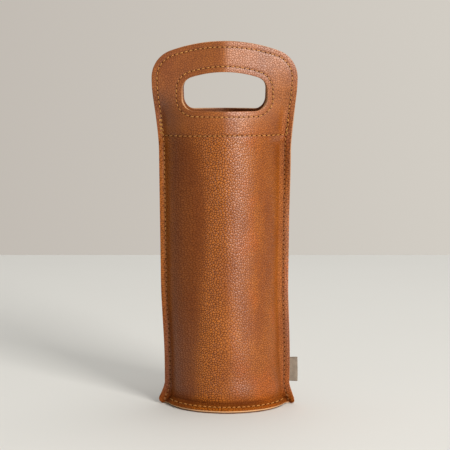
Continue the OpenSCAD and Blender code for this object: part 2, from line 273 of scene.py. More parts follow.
@dataclass(frozen=True)
class Softness:
    """How the hand-sewn leather strays from its plain shape.

    A span holds the height where an effect sets in and the one where it is full.
    """

    lean: float = 2.6
    lean_low: float = 45.0
    lean_high: float = 125.0
    foot_lean: float = 2.0
    wave: float = 0.55
    right_waves: tuple[Triple, Triple] = ((1.0, 23.0, 0.6), (0.6, 11.7, 2.1))
    left_waves: tuple[Triple, Triple] = ((1.0, 26.0, 2.9), (0.6, 12.9, 0.4))
    ripple: float = 0.34 / 1.6
    hem_ripple: float = 0.22
    hem_shift: float = 1.3
    hem_fade: Span = (9.0, 0.0)
    wave_in: Span = (0.0, 30.0)
    wave_out: Span = (300.0, 260.0)
    swell_lengths: tuple[float, ...] = (150.0, 95.0, 64.0, 41.0, 28.0)
    swells_each: int = 3
    swell_upright: float = 0.75
    swell_power: float = 0.9
    ridge: float = 1.5
    ridge_drift: float = 3.0
    ridge_drifting: Span = (220.0, 140.0)
    ridge_round: float = 3.5
    ridge_width: float = 15.0
    right_bend: float = 4.2
    left_bend: float = 1.2
    bend_fade: Span = (18.0, 0.0)
    left_lift: float = 1.5
    lift_fade: Span = (14.0, 0.0)
    right_turn: float = 0.5
    turn_in: Span = (180.0, 245.0)
    turn_out: Span = (316.0, 282.0)
    right_fold: float = 4.6
    fold_in: Span = (14.0, 54.0)
    crease_height: float = 7.4
    crease_width: float = 1.7
    crease_depth: float = 2.4
    belly_height: float = 19.0
    belly_width: float = 8.5
    belly_rise: float = 0.8
    curl: float = 0.4
    curl_low: float = 318.0
    curl_reach: float = 45.0
    label_low: float = 22.0
    label_high: float = 46.0
    label_swell: float = 0.32
    label_fade: float = 7.0
    seed: int = 11

    def sway(self, z: Array) -> Array:
        """Returns how far the lower body has settled towards +X."""
        fall = ramp(z, self.lean_high, self.lean_low)
        foot = ramp(z, self.lean_low, 0.0) ** 2
        return self.lean * fall + (self.foot_lean - self.lean) * foot

    def ripples(self, x: Array, z: Array, side: Side) -> Array:
        """Returns the soft uneven swell of a panel, at long wavelengths."""
        rng = np.random.RandomState(self.seed + side.value)
        total = np.zeros_like(x)
        for length in self.swell_lengths:
            for _ in range(self.swells_each):
                way, phase = rng.uniform(0.0, math.pi), rng.uniform(0.0, 2 * math.pi)
                along = x * math.cos(way) + self.swell_upright * z * math.sin(way)
                swell = np.sin(2 * math.pi / length * along + phase)
                total += swell * (length / self.swell_lengths[0]) ** self.swell_power
        return self.ripple * total

    def middle_fold(self, x: Array, z: Array) -> Array:
        """Returns the soft ridge left where a panel was once folded down its middle."""
        off = x - self.ridge_drift * ramp(z, *self.ridge_drifting)
        far = np.hypot(off, self.ridge_round) - self.ridge_round
        return self.ridge * np.exp(-far / self.ridge_width)

    def hem_wave(self, x: Array, z: Array, side: Side) -> Array:
        """Returns how far the flared edge at the base waves in and out."""
        shift = self.hem_shift * side.value
        wave = waves(x, (1.0, 6.1, shift), (0.7, 3.7, 2.0 * shift))
        return self.hem_ripple * wave * ramp(z, *self.hem_fade)

    def seam_wave(self, z: Array, at: Array) -> Array:
        """Returns how far a side seam waves along Y.

        Args:
            z: heights.
            at: which seam, by the sign of its place along X.

        Returns:
            Shifts along Y.
        """
        share = ramp(z, *self.wave_in) * ramp(z, *self.wave_out)
        shape = np.where(at > 0, waves(z, *self.right_waves), waves(z, *self.left_waves))
        return self.wave * share * shape

    def ear_bend(self, z: Array, at: Array) -> Array:
        """Returns how far the ear at a seam's foot bends to the front."""
        return -np.where(at > 0, self.right_bend, self.left_bend) * ramp(z, *self.bend_fade)

    def ear_lift(self, z: Array, at: Array) -> Array:
        """Returns how far the left ear curls up off the floor."""
        return np.where(at > 0, 0.0, self.left_lift) * ramp(z, *self.lift_fade)

    def turned(self, z: Array, at: Array) -> Array:
        """Returns the slope to the front of the right seam's flange, below the mouth."""
        slope = self.right_turn * ramp(z, *self.turn_in) * ramp(z, *self.turn_out)
        return -np.where(at > 0, slope, 0.0)

    def wide_fold(self, z: Array, at: Array) -> Array:
        """Returns how much wider the fold at the right seam is than the left one."""
        return np.where(at > 0, self.right_fold * ramp(z, *self.fold_in), 0.0)

    def curled(self, z: Array) -> Array:
        """Returns how far the handle's bar curls back towards the carrier's middle."""
        return self.curl * np.clip((z - self.curl_low) / self.curl_reach, 0.0, 1.0) ** 2

    def swell(self, z: Array, at: Array) -> Array:
        """Returns how far the label parts each panel from the seam's middle."""
        fade, low, high = self.label_fade, self.label_low, self.label_high
        over = ramp(z, low - fade, low) * ramp(z, high + fade, high)
        return np.where(at > 0, self.label_swell * over, 0.0)


@dataclass(frozen=True)
class CarrierForm:
    """Middle surface of a panel, sewn at the sides and free above the mouth.

    A span holds the place where an effect sets in and the one where it is full: a height for
    those named above, a distance from the side fold for those named from.
    """

    outline: Outline = field(default_factory=Outline)
    soft: Softness = field(default_factory=Softness)
    low_depth: float = 86.0
    mouth_depth: float = 82.0
    top_depth: float = 78.0
    edge_depth: float = 44.0
    spring: float = 53.0
    freeing: float = 32.0
    fold_softness: float = 0.25
    fold_power: float = 0.62
    fold_least: float = 0.012
    panel: float = 1.8
    facing: float = 1.2
    base: float = 2.0
    layer_gap: float = 0.12
    seam_gap: float = 0.1
    seam_width: float = 6.1
    fold_radius: float = 2.6
    flare_height: float = 9.8
    flare: float = 13.0
    flare_power: float = 1.2
    fold_share: float = 0.6
    foot_fold: float = 2.0
    foot_height: float = 12.0
    facing_low: float = 267.0
    facing_step: float = 5.0
    inset: float = 5.4
    hem_height: float = 271.0
    base_stitch_height: float = 5.0
    uneven_from: Span = (3.0, 25.0)
    uneven_above: Span = (6.0, 36.0)
    uneven_handle: float = 0.7
    ridge_above: Span = (12.0, 52.0)
    wave_reach: float = 18.0
    ear_from: Span = (-1.0, 6.0)
    turn_round: float = 1.0

    @property
    def facing_back(self) -> float:
        """Offset of the facing's hidden face from a panel's middle surface."""
        return -(self.panel / 2 + self.layer_gap)

    @property
    def facing_front(self) -> float:
        """Offset of the facing's shown face from a panel's middle surface."""
        return self.facing_back - self.facing

    def flaring(self, z: Array) -> Array:
        """Returns how far the base flare and the crease above it move the leather outwards."""
        soft = self.soft
        flare = np.clip(1.0 - z / self.flare_height, 0.0, 1.0) ** self.flare_power
        crease = soft.crease_depth * hump(z, soft.crease_height, soft.crease_width)
        return self.flare * flare - crease

    def fold_x(self, z: Array) -> Array:
        """Returns half the width between the folds, where a panel leaves its side seams."""
        line = self.outline
        body = line.plain_half(z) + self.fold_share * self.flaring(z)
        return mix(body, line.handle_width / 2, line.widened(z)) - self.seam_width

    def centre_y(self, z: Array) -> Array:
        """Returns half the carrier's depth at its centre line."""
        mouth = self.outline.seam_height
        sewn = mix(self.low_depth, self.mouth_depth, z / mouth) / 2 + self.flaring(z)
        sewn = sewn + self.soft.belly_rise * hump(z, self.soft.belly_height, self.soft.belly_width)
        above = (z - mouth) / (self.outline.height - mouth)
        return np.where(z <= mouth, sewn, mix(self.mouth_depth, self.top_depth, above) / 2)

    def seam_y(self, z: Array) -> Array:
        """Returns the distance of a panel's middle from the middle of its side seams."""
        lined = ramp(z, self.facing_low - self.facing_step, self.facing_low)
        return (self.seam_gap + self.panel) / 2 + (self.facing + self.layer_gap) * lined

    def fold(self, z: Array) -> Array:
        """Returns the radius of the fold at the side seams, which is sharp at the floor."""
        return mix(self.foot_fold, self.fold_radius, ramp(z, 0.0, self.foot_height))

    def section(self, z: Array) -> tuple[Array, Array]:
        """Returns the main arc's turn to each side, in radians, and its radius."""
        rise = self.centre_y(z) - self.seam_y(z)
        turn = 2 * np.arctan2(rise, self.fold_x(z))
        return turn, self.fold_x(z) / np.sin(turn) - self.fold(z)

    def sewn_y(self, x: Array, z: Array, at: Array) -> Array:
        """Returns the depth of the section that is sewn at the sides.

        Args:
            x: places across the panel, as if it were the front one.
            z: heights.
            at: which seam, by the sign of its place along X.

        Returns:
            Depths.
        """
        reach, far = self.fold_x(z), np.abs(x)
        turn, radius = self.section(z)
        flat = self.seam_y(z)
        wider = self.soft.wide_fold(z, at)
        bend, radius = self.fold(z) + wider, radius - wider
        into = np.clip(reach - far, 0.0, bend)
        fold = flat + bend - np.sqrt(bend**2 - into**2)
        round_x = np.minimum(far, radius)
        main = self.centre_y(z) - radius + np.sqrt(radius**2 - round_x**2)
        return np.where(far >= reach, flat, np.where(far >= radius * np.sin(turn), fold, main))

    def free_y(self, x: Array, z: Array) -> Array:
        """Returns the depth of a handle, which is free at its side edges."""
        above = z - self.outline.seam_height
        edge = mix(self.seam_y(z), self.edge_depth / 2, ease_out(above / self.spring))
        middle, soft = self.centre_y(z), self.fold_softness
        edge, middle = edge - self.soft.curled(z), middle - self.soft.curled(z)
        off = np.hypot(2 * x / self.outline.handle_width, soft) - soft
        share = off / (math.hypot(1.0, soft) - soft)
        least, power = self.fold_least, self.fold_power
        share = ((share + least) ** power - least**power) / ((1.0 + least) ** power - least**power)
        return middle - (middle - edge) * share

    def depth(self, x: Array, z: Array, side: Side) -> Array:
        """Returns how far a panel's middle surface lies from the carrier's middle plane.

        Args:
            x: places across the panel, as if it were the front one.
            z: heights.
            side: which panel it is.

        Returns:
            Depths.
        """
        mouth, soft = self.outline.seam_height, self.soft
        free = ramp(z, mouth, mouth + self.freeing)
        sewn = 1.0 - free
        plain = mix(self.sewn_y(x, z, side.value * x), self.free_y(x, z), free)
        inner = ramp(self.fold_x(z) - np.abs(x), *self.uneven_from) * sewn
        share = ramp(z, *self.uneven_above) * (inner + self.uneven_handle * free)
        uneven = soft.ripples(x, z, side) * share + soft.hem_wave(x, z, side) * inner
        ridge = soft.middle_fold(x, z) * ramp(z, *self.ridge_above) * sewn
        return plain + uneven + ridge + soft.swell(z, side.value * x) * (1.0 - inner) * sewn

    def slopes(self, x: Array, z: Array, side: Side) -> tuple[Array, Array, Array]:
        """Returns the depth and its slopes across and upwards."""
        step = 0.15
        dx = self.depth(x + step, z, side) - self.depth(x - step, z, side)
        dz = self.depth(x, z + step, side) - self.depth(x, z - step, side)
        return self.depth(x, z, side), dx / (2 * step), dz / (2 * step)

    def place(self, x: Array, z: Array, out: Array, side: Side) -> tuple[Array, Array]:
        """Places points of a panel in the carrier.

        Args:
            x: places across the panel, as if it were the front one.
            z: heights.
            out: offsets from the middle surface, positive outwards.
            side: which panel it is.

        Returns:
            The points in metres, and the outward normals there.
        """
        x, z = np.asarray(x, dtype=float), np.asarray(z, dtype=float)
        deep, dx, dz = self.slopes(x, z, side)
        size = np.sqrt(dx * dx + 1.0 + dz * dz)
        normal = np.stack([-dx / size, -1.0 / size, -dz / size], axis=-1)
        point = np.stack([x, -deep, z], axis=-1) + np.asarray(out)[..., None] * normal
        turn = np.array([side.value, side.value, 1.0])
        point, normal = point * turn, normal * turn
        soft, past = self.soft, np.abs(x) - self.fold_x(z)
        beyond = ramp(past, *self.ear_from)
        point[..., 0] += soft.sway(z)
        at = point[..., 0]
        point[..., 1] += soft.seam_wave(z, at) * ramp(past, -self.wave_reach, 0.0)
        point[..., 1] += soft.ear_bend(z, at) * beyond
        turned = 0.5 * (past + np.sqrt(past**2 + self.turn_round**2))
        point[..., 1] += soft.turned(z, at) * turned
        point[..., 2] += soft.ear_lift(z, at) * beyond
        return point * MM, normal


@dataclass
class Seam:
    """A line of stitches over a panel, with a needle hole at each end of every stitch."""

    path: Array
    side: Side
    out: float
    closed: bool = False
    pitch: float = 4.7
    count: int = 0
    points: Array = field(default_factory=lambda: np.zeros((0, 3)))
    normals: Array = field(default_factory=lambda: np.zeros((0, 3)))
    tangents: Array = field(default_factory=lambda: np.zeros((0, 3)))

    FINE = 16

    def lay(self, form: CarrierForm) -> "Seam":
        """Divides the path into stitches and lays it on the leather.

        Args:
            form: the surface that it lies on.

        Returns:
            The seam itself.
        """
        self.count = max(1, round(running(self.path)[-1] / self.pitch))
        flat = divide(self.path, self.count * self.FINE)
        out = np.full(len(flat), self.out)
        self.points, self.normals = form.place(flat[:, 0], flat[:, 1], out, self.side)
        self.normals = self.normals * (1.0 if self.out > 0 else -1.0)
        along = np.gradient(self.points, axis=0)
        self.tangents = along / np.linalg.norm(along, axis=1)[:, None]
        return self

    def reach(self, i: int) -> float:
        """Returns how many stitches lie before a point of the laid path."""
        return i / self.FINE


# Leather


def laid_grid(bm: Mesh, places: Array) -> list[bmesh.types.BMVert]:
    """Adds a grid of faces to a mesh.

    Args:
        bm: the mesh that is being built.
        places: points in metres, by row and column.

    Returns:
        The new vertices, row by row.
    """
    rows, columns = places.shape[:2]
    start = len(bm.verts)
    bmesh.ops.create_grid(bm, x_segments=columns - 1, y_segments=rows - 1, size=1.0)
    bm.verts.ensure_lookup_table()
    verts = bm.verts[start:]
    for vert, place in zip(verts, places.reshape(-1, 3)):
        vert.co = place
    return verts


def shown(bm: Mesh, name: str, finishes: list[bpy.types.Material]) -> bpy.types.Object:
    """Makes an object of a built mesh and gives it its finishes."""
    mesh = bpy.data.meshes.new(name)
    bm.to_mesh(mesh)
    bm.free()
    mesh.shade_smooth()
    for finish in finishes:
        mesh.materials.append(finish)
    piece = bpy.data.objects.new(name, mesh)
    bpy.context.scene.collection.objects.link(piece)
    return piece


class Skin(Enum):
    """Material slots of a leather piece."""

    GRAIN = 0
    CUT = 1
    FLESH = 2


def tree_of(points: list[Array]) -> KDTree:
    """Returns points sorted for searching."""
    tree = KDTree(len(points))
    for i, point in enumerate(points):
        tree.insert(point, i)
    tree.balance()
    return tree


class SeamMap:
    """Writes where the needle holes lie, so that the leather's finish can draw them.

    U counts stitches along the nearest seam, with a hole at each whole number, and V is the
    distance from the seam in stitches.
    """

    NAME = "Seams"
    NEAR = 7.0 * MM
    CLEAR = (0.5, 9.0)

    def __init__(self, seams: list[Seam]) -> None:
        """Keeps the seams and sorts their points for searching."""
        self.marks = [(seam, i) for seam in seams for i in range(len(seam.points))]
        self.tree = tree_of([seam.points[i] for seam, i in self.marks])
        self.own = {id(seam): tree_of(seam.points) for seam in seams}

    def depth_at(self, point: Vector, width: float) -> float:
        """Returns how strongly a seam draws the leather in at a point, from 0 to 1."""
        _, _, far = self.tree.find(point)
        return math.exp(-((far / (width * MM)) ** 2))

    def corner(self, seam: Seam, point: Vector, about: float) -> tuple[float, float]:
        """Returns U and V of a face's corner, with U kept next to that of the face."""
        _, i, _ = self.own[id(seam)].find(point)
        off = np.array(point) - seam.points[i]
        length = seam.pitch * MM
        along = seam.reach(i) + float(off @ seam.tangents[i]) / length
        across = float(off @ np.cross(seam.normals[i], seam.tangents[i])) / length
        if seam.closed and abs(along - about) > seam.count / 2:
            along += math.copysign(seam.count, about - along)
        return along, across

    def write(self, bm: Mesh, faces: list[bmesh.types.BMFace]) -> None:
        """Writes the map on some faces and clears it on the others.

        Args:
            bm: the mesh.
            faces: the faces that show stitches.
        """
        layer = bm.loops.layers.uv.new(self.NAME)
        for face in bm.faces:
            for loop in face.loops:
                loop[layer].uv = self.CLEAR
        for face in faces:
            _, k, far = self.tree.find(face.calc_center_median())
            if far > self.NEAR:
                continue
            seam, i = self.marks[k]
            for loop in face.loops:
                loop[layer].uv = self.corner(seam, loop.vert.co, seam.reach(i))


def sort_faces(bm: Mesh, outer: set[bmesh.types.BMVert], grain: Face) -> None:
    """Gives the grain, the flesh and the cut edge their material slots.

    Args:
        bm: the leather, with its thickness.
        outer: the vertices of its outer face.
        grain: the face that the grain is on.
    """
    for face in bm.faces:
        count = sum(vert in outer for vert in face.verts)
        if 0 < count < len(face.verts):
            face.material_index = Skin.CUT.value
        elif (count > 0) == (grain is Face.OUTER):
            face.material_index = Skin.GRAIN.value
        else:
            face.material_index = Skin.FLESH.value


def round_edges(bm: Mesh, size: float = 0.32) -> None:
    """Rounds the two corners of every cut edge by a size in millimetres."""
    cut = Skin.CUT.value
    corners = [edge for edge in bm.edges if len(edge.link_faces) == 2
               and sum(face.material_index == cut for face in edge.link_faces) == 1]
    bmesh.ops.bevel(bm, geom=corners, offset=size * MM, offset_type="OFFSET", segments=2,
                    profile=0.5, affect="EDGES", material=-1)


def grain_faces(bm: Mesh) -> list[bmesh.types.BMFace]:
    """Returns the faces of the grain side."""
    return [face for face in bm.faces if face.material_index == Skin.GRAIN.value]


@dataclass
class LeatherCut:
    """A cut piece of leather that follows a panel: the panel itself, or the facing behind it."""

    form: CarrierForm
    side: Side
    offset: float
    thickness: float
    low: float
    shown: Face
    arc_steps: int = 44
    fold_steps: int = 6
    flange_steps: int = 6
    side_steps: int = 44
    top_steps: int = 118
    rings: int = 23
    evenness: float = 0.6
    groove: float = 0.26
    groove_width: float = 1.25
    lift: float = 1.9
    lift_from: float = 6.0
    lift_below: float = 8.0
    fine_below: float = 30.0
    coarse_below: float = 250.0
    foot_row: float = 0.85
    body_row: float = 1.8
    mouth_row: float = 1.5
    last_row: float = 0.7
    clearance: float = 0.05

    def half_row(self, z: float) -> Array:
        """Returns places across the +X half of a row at a height."""
        at = np.array(z)
        turn, radius = (float(v) for v in self.form.section(at))
        reach, edge = float(self.form.fold_x(at)), float(self.form.outline.edge_x(at))
        main = radius * np.sin(turn * np.linspace(0.0, 1.0, self.arc_steps + 1))
        share = np.arange(1, self.fold_steps + 1) / self.fold_steps
        bend = float(self.form.fold(at))
        fold = reach - bend * np.sin(turn * (1.0 - share))
        flange = mix(reach, edge, np.arange(1, self.flange_steps + 1) / self.flange_steps)
        return np.concatenate([main, fold, flange])

    def row(self, z: float) -> Array:
        """Returns the flat points of a row, from -X to +X."""
        half = self.half_row(z)
        x = np.concatenate([-half[:0:-1], half])
        return np.stack([x, np.full_like(x, z)], axis=1)

    @property
    def columns(self) -> int:
        """How many faces a row has."""
        return 2 * (self.arc_steps + self.fold_steps + self.flange_steps)

    def heights(self, low: float) -> Array:
        """Returns the heights of the rows below the handle."""
        rows = (
            (low, self.fine_below, self.foot_row),
            (self.fine_below, self.coarse_below, self.body_row),
            (self.coarse_below, self.low - self.last_row, self.mouth_row),
        )
        return np.concatenate([np.arange(*row) for row in rows] + [[self.low]])

    def body(self, foot: float) -> Array:
        """Returns the flat points below the handle, by row and column.

        Args:
            foot: height of the lowest row.

        Returns:
            Points, raised near the floor so that the flared edge stands on the base under it.
        """
        grid = np.stack([self.row(z) for z in self.heights(foot)])
        x, z = grid[..., 0], grid[..., 1]
        inner = ramp(self.form.fold_x(z) - np.abs(x), 0.0, self.lift_from)
        grid[..., 1] += self.lift * inner * (1.0 - ramp(z, 0.0, self.lift_below))
        return grid

    def handle(self) -> Array:
        """Returns the flat points of the handle, by ring and place round the hand hole."""
        line = self.form.outline
        sides = divide(line.side(self.low, 0.0), self.side_steps)
        top = divide(line.top(0.0), self.top_steps)
        outer = joined(self.row(self.low), sides, top, flipped(sides))
        bottom, right, crown, left = line.hole(0.0)
        parts = ((bottom, self.columns), (right, self.side_steps), (crown, self.top_steps),
                 (left, self.side_steps))
        inner = joined(*(divide(path, steps) for path, steps in parts))
        even = np.linspace(0.0, 1.0, self.rings + 1)
        shares = mix(0.5 - 0.5 * np.cos(math.pi * even), even, self.evenness)
        return mix(outer[None], inner[None], shares[:, None, None])

    def laid(self, flat: Array) -> Array:
        """Returns flat points placed at the offset of the face that is thickened inwards."""
        out = np.full(flat.shape[:-1], self.offset)
        return self.form.place(flat[..., 0], flat[..., 1], out, self.side)[0]

    def built(self, seams: SeamMap, foot: float | None) -> Mesh:
        """Builds the piece.

        Args:
            seams: the seams that show on it.
            foot: height of its lowest row, or None if it is a handle alone.

        Returns:
            The mesh, with its thickness, rounded edges, grooves and seam map.
        """
        bm = bmesh.new()
        if foot is not None:
            laid_grid(bm, self.laid(self.body(foot)))
        laid_grid(bm, self.laid(self.handle()))
        bmesh.ops.remove_doubles(bm, verts=bm.verts[:], dist=MERGE)
        outer = set(bm.verts)
        bmesh.ops.solidify(bm, geom=bm.faces[:], thickness=self.thickness * MM)
        sort_faces(bm, outer, self.shown)
        drawn = outer if self.shown is Face.OUTER else set(bm.verts) - outer
        bm.normal_update()
        pulls = [(v, v.normal * seams.depth_at(v.co, self.groove_width)) for v in drawn]
        for vert, pull in pulls:
            vert.co -= pull * self.groove * MM
        round_edges(bm)
        for vert in bm.verts:
            vert.co.z = max(vert.co.z, self.clearance * MM)
        seams.write(bm, grain_faces(bm))
        return bm


@dataclass
class BasePlate:
    """The lens-shaped base, with its rim turned down inside the flared panels."""

    form: CarrierForm
    top: float = 9.6
    around: int = 96
    rim_rows: int = 9
    plate_rings: int = 16
    foot: float = 1.35
    turn: float = 1.9
    turn_angles: tuple[float, ...] = (30.0, 60.0, 90.0)
    sag: float = 0.5

    def loop(self, z: float, inset: float, level: float) -> Array:
        """Returns a closed lens-shaped loop.

        Args:
            z: height at which the panels are followed.
            inset: distance in from the panels' middle surface.
            level: height of the loop itself.

        Returns:
            Points in millimetres, with the first one repeated at the end.
        """
        form, step = self.form, 0.1
        at = np.array(z)
        slope = float(form.centre_y(at + step) - form.centre_y(at)) / step
        radius = float(form.section(at)[1])
        back = radius - float(form.centre_y(at))
        radius -= inset * math.sqrt(1.0 + slope**2)
        turn = math.acos(back / radius)
        t = np.linspace(-turn, turn, self.around // 2 + 1)[:-1]
        front = np.stack([radius * np.sin(t), back - radius * np.cos(t)], axis=1)
        ring = np.concatenate([front, -front, front[:1]])
        sway = float(form.soft.sway(at))
        return np.column_stack([ring[:, 0] + sway, ring[:, 1], np.full(len(ring), level)])

    def built(self, seams: SeamMap) -> Mesh:
        """Builds the base from its rim to its middle."""
        form = self.form
        under = form.panel / 2 + form.layer_gap
        loops = []
        for share in np.linspace(0.0, 1.0, self.rim_rows):
            z = mix(self.foot, self.top - self.turn, share)
            loops.append(self.loop(z, under, z))
        for angle in self.turn_angles:
            a = math.radians(angle)
            level = self.top - self.turn * (1.0 - math.sin(a))
            inset = under + self.turn * (1.0 - math.cos(a))
            loops.append(self.loop(self.top - self.turn, inset, level))
        edge = loops[-1]
        middle = edge[:-1].mean(axis=0)
        for share in np.linspace(1.0, 0.0, self.plate_rings)[1:]:
            ring = middle + (edge - middle) * share
            ring[:, 2] = self.top - self.sag * (1.0 - share**2)
            loops.append(ring)
        bm = bmesh.new()
        laid_grid(bm, np.stack(loops) * MM)
        bmesh.ops.remove_doubles(bm, verts=bm.verts[:], dist=MERGE)
        bmesh.ops.recalc_face_normals(bm, faces=bm.faces[:])
        upper = max(bm.faces, key=lambda f: f.calc_center_median().z)
        if upper.normal.z < 0:
            bmesh.ops.reverse_faces(bm, faces=bm.faces[:])
        flesh = set(bm.verts)
        bmesh.ops.solidify(bm, geom=bm.faces[:], thickness=form.base * MM)
        sort_faces(bm, flesh, Face.INNER)
        round_edges(bm)
        seams.write(bm, grain_faces(bm))
        return bm


# Threads and label


def face_out(bm: Mesh) -> None:
    """Turns the faces of closed shells that all face one way outwards."""
    if bm.calc_volume(signed=True) < 0.0:
        bmesh.ops.reverse_faces(bm, faces=bm.faces[:])


@dataclass
class StitchRun:
    """Threads of one sewn line, each a short arched length that dives into its needle holes.

    Lifts, slants and girths are the ranges that each stitch's own are drawn from.
    """

    seed: int
    radius: float = 0.42
    reach: Span = (0.14, 0.86)
    dive: float = -0.42
    arch_power: float = 0.7
    end_power: float = 0.35
    flatness: float = 0.85
    lifts: Span = (-0.04, 0.05)
    slants: Span = (0.10, 0.24)
    girths: Span = (0.93, 1.07)

    TWIST = "Twist"

    def __post_init__(self) -> None:
        """Makes the stitch that the run repeats."""
        self.rng = np.random.RandomState(self.seed)
        bm = bmesh.new()
        bm.loops.layers.uv.new(self.TWIST)
        bmesh.ops.create_uvsphere(bm, u_segments=6, v_segments=8, radius=1.0, calc_uvs=True)
        self.stitch = bpy.data.meshes.new("stitch")
        bm.to_mesh(self.stitch)
        bm.free()
        self.shape = np.array([v.co[:] for v in self.stitch.vertices])
        self.bm = bmesh.new()

    def sew(self, seam: Seam, first: int, last: int, height: float = 0.2) -> None:
        """Adds the stitches of a seam between two needle holes.

        Args:
            seam: the laid seam.
            first: hole that the first stitch comes out of.
            last: hole that the last stitch goes into.
            height: how far the middle of a stitch stands above the leather.
        """
        for k in range(first, last):
            self.one(seam, k, height)

    def one(self, seam: Seam, k: int, height: float) -> None:
        """Adds the stitch from needle hole k to the next one."""
        share = (1.0 - self.shape[:, 2]) / 2
        at = (k + mix(*self.reach, share)) * seam.FINE
        index = np.arange(len(seam.points))
        centre, normal, tangent = (sampled(at, index, rows)
                                   for rows in (seam.points, seam.normals, seam.tangents))
        across = np.cross(normal, tangent)
        rise = np.sin(math.pi * share) ** self.arch_power
        lift = mix(self.dive, height + self.rng.uniform(*self.lifts), rise)
        slant = self.rng.uniform(*self.slants) * (share - 0.5) * 2.0
        ring = self.shape[:, :2]
        length = np.maximum(np.linalg.norm(ring, axis=1), 1e-6)
        unit = ring / length[:, None]
        thick = self.radius * np.sin(math.pi * np.clip(share, 0.0, 1.0)) ** self.end_power
        thick = np.where(length < 1e-3, 0.0, thick * self.rng.uniform(*self.girths))
        side = (slant + thick * unit[:, 0])[:, None] * across
        up = (lift + self.flatness * thick * unit[:, 1])[:, None] * normal
        places = centre + (side + up) * MM
        start = len(self.bm.verts)
        self.bm.from_mesh(self.stitch)
        self.bm.verts.ensure_lookup_table()
        for vert, place in zip(self.bm.verts[start:], places):
            vert.co = place

    def built(self) -> Mesh:
        """Returns the threads as one mesh that faces outwards."""
        face_out(self.bm)
        bpy.data.meshes.remove(self.stitch)
        return self.bm


@dataclass
class SideLabel:
    """A plain woven tape, folded in two and caught in the side seam at +X."""

    form: CarrierForm
    low: float = 22.4
    height: float = 24.4
    inside: float = 5.5
    out: float = 8.1
    thickness: float = 0.16
    caught: float = 0.17
    fold: float = 0.36
    opening: Span = (0.42, 0.72)
    splay: float = 0.42
    splay_at: float = 0.8
    splay_width: float = 0.17
    curl: float = 0.8
    curl_least: float = 0.2
    curl_wave: Span = (3.0, 0.4)
    wander: float = 0.12
    wander_wave: float = 5.0
    droop: float = 0.25
    droop_about: float = 0.4
    slack: float = 0.5
    leg_steps: int = 21
    fold_steps: int = 8
    rows: int = 24

    TAPE = "Tape"

    def folded(self, edge: float) -> Array:
        """Returns the tape seen from above, from one raw end round its fold to the other.

        Args:
            edge: place of the panels' raw edge along X.

        Returns:
            Its points, as X and Y.
        """
        end = edge + self.out - self.fold
        leg = np.linspace(0.0, 1.0, self.leg_steps + 1)
        y_leg = mix(self.caught, self.fold, ramp(leg, *self.opening))
        y_leg = y_leg + self.splay * hump(leg, self.splay_at, self.splay_width)
        legs = np.stack([mix(edge - self.inside, end, leg), -y_leg], axis=1)
        turn = np.radians(np.linspace(90.0, -90.0, self.fold_steps + 1))[1:-1]
        bend = np.stack([end + self.fold * np.cos(turn), -self.fold * np.sin(turn)], axis=1)
        return np.concatenate([legs, bend, legs[::-1] * np.array([1.0, -1.0])])

    def built(self) -> Mesh:
        """Builds the tape, with its own map, and gives it its thickness."""
        soft, middle = self.form.soft, self.low + self.height / 2
        edge = float(self.form.outline.edge_x(middle) + soft.sway(np.array(middle)))
        line = self.folded(edge)
        x, y = line.T
        share = np.linspace(0.0, 1.0, self.rows + 1)[:, None]
        z = self.low + self.height * share
        over = np.clip((x - edge) / self.out, 0.0, 1.0) ** 2
        turn, start = self.curl_wave
        wave = 0.5 + 0.5 * np.sin(share * turn + start)
        curl = self.curl * over * mix(self.curl_least, 1.0, wave)
        grid = np.zeros((len(share), len(x), 3))
        grid[..., 0] = x + self.wander * np.sin(share * self.wander_wave) * (x > edge)
        grid[..., 1] = y - curl + soft.seam_wave(z, np.ones_like(z))
        grid[..., 2] = z + self.droop * over * (share - self.droop_about)
        bm = bmesh.new()
        verts = laid_grid(bm, grid * MM)
        layer = bm.loops.layers.uv.new(self.TAPE)
        places = np.stack(np.broadcast_arrays(running(line), self.height * share), axis=-1)
        spots = dict(zip(verts, places.reshape(-1, 2) * MM))
        for face in bm.faces:
            for loop in face.loops:
                loop[layer].uv = spots[loop.vert]
        bm.normal_update()
        bm.faces.ensure_lookup_table()
        if bm.faces[0].normal.y > 0:
            bmesh.ops.reverse_faces(bm, faces=bm.faces[:])
            bm.normal_update()
        bmesh.ops.solidify(bm, geom=bm.faces[:], thickness=self.thickness * MM)
        face_out(bm)
        return bm

    @property
    def flat(self) -> tuple[float, float]:
        """Size of the tape before it was folded, in metres."""
        return 2 * (self.inside + self.out + self.slack) * MM, self.height * MM


# Finishes


def linear(colour: Colour) -> tuple[float, float, float, float]:
    """Returns a screen colour of 0 to 255 a channel as a linear colour with alpha."""
    shares = [v / 255.0 for v in colour]
    r, g, b = (c / 12.92 if c <= 0.04045 else ((c + 0.055) / 1.055) ** 2.4 for c in shares)
    return r, g, b, 1.0


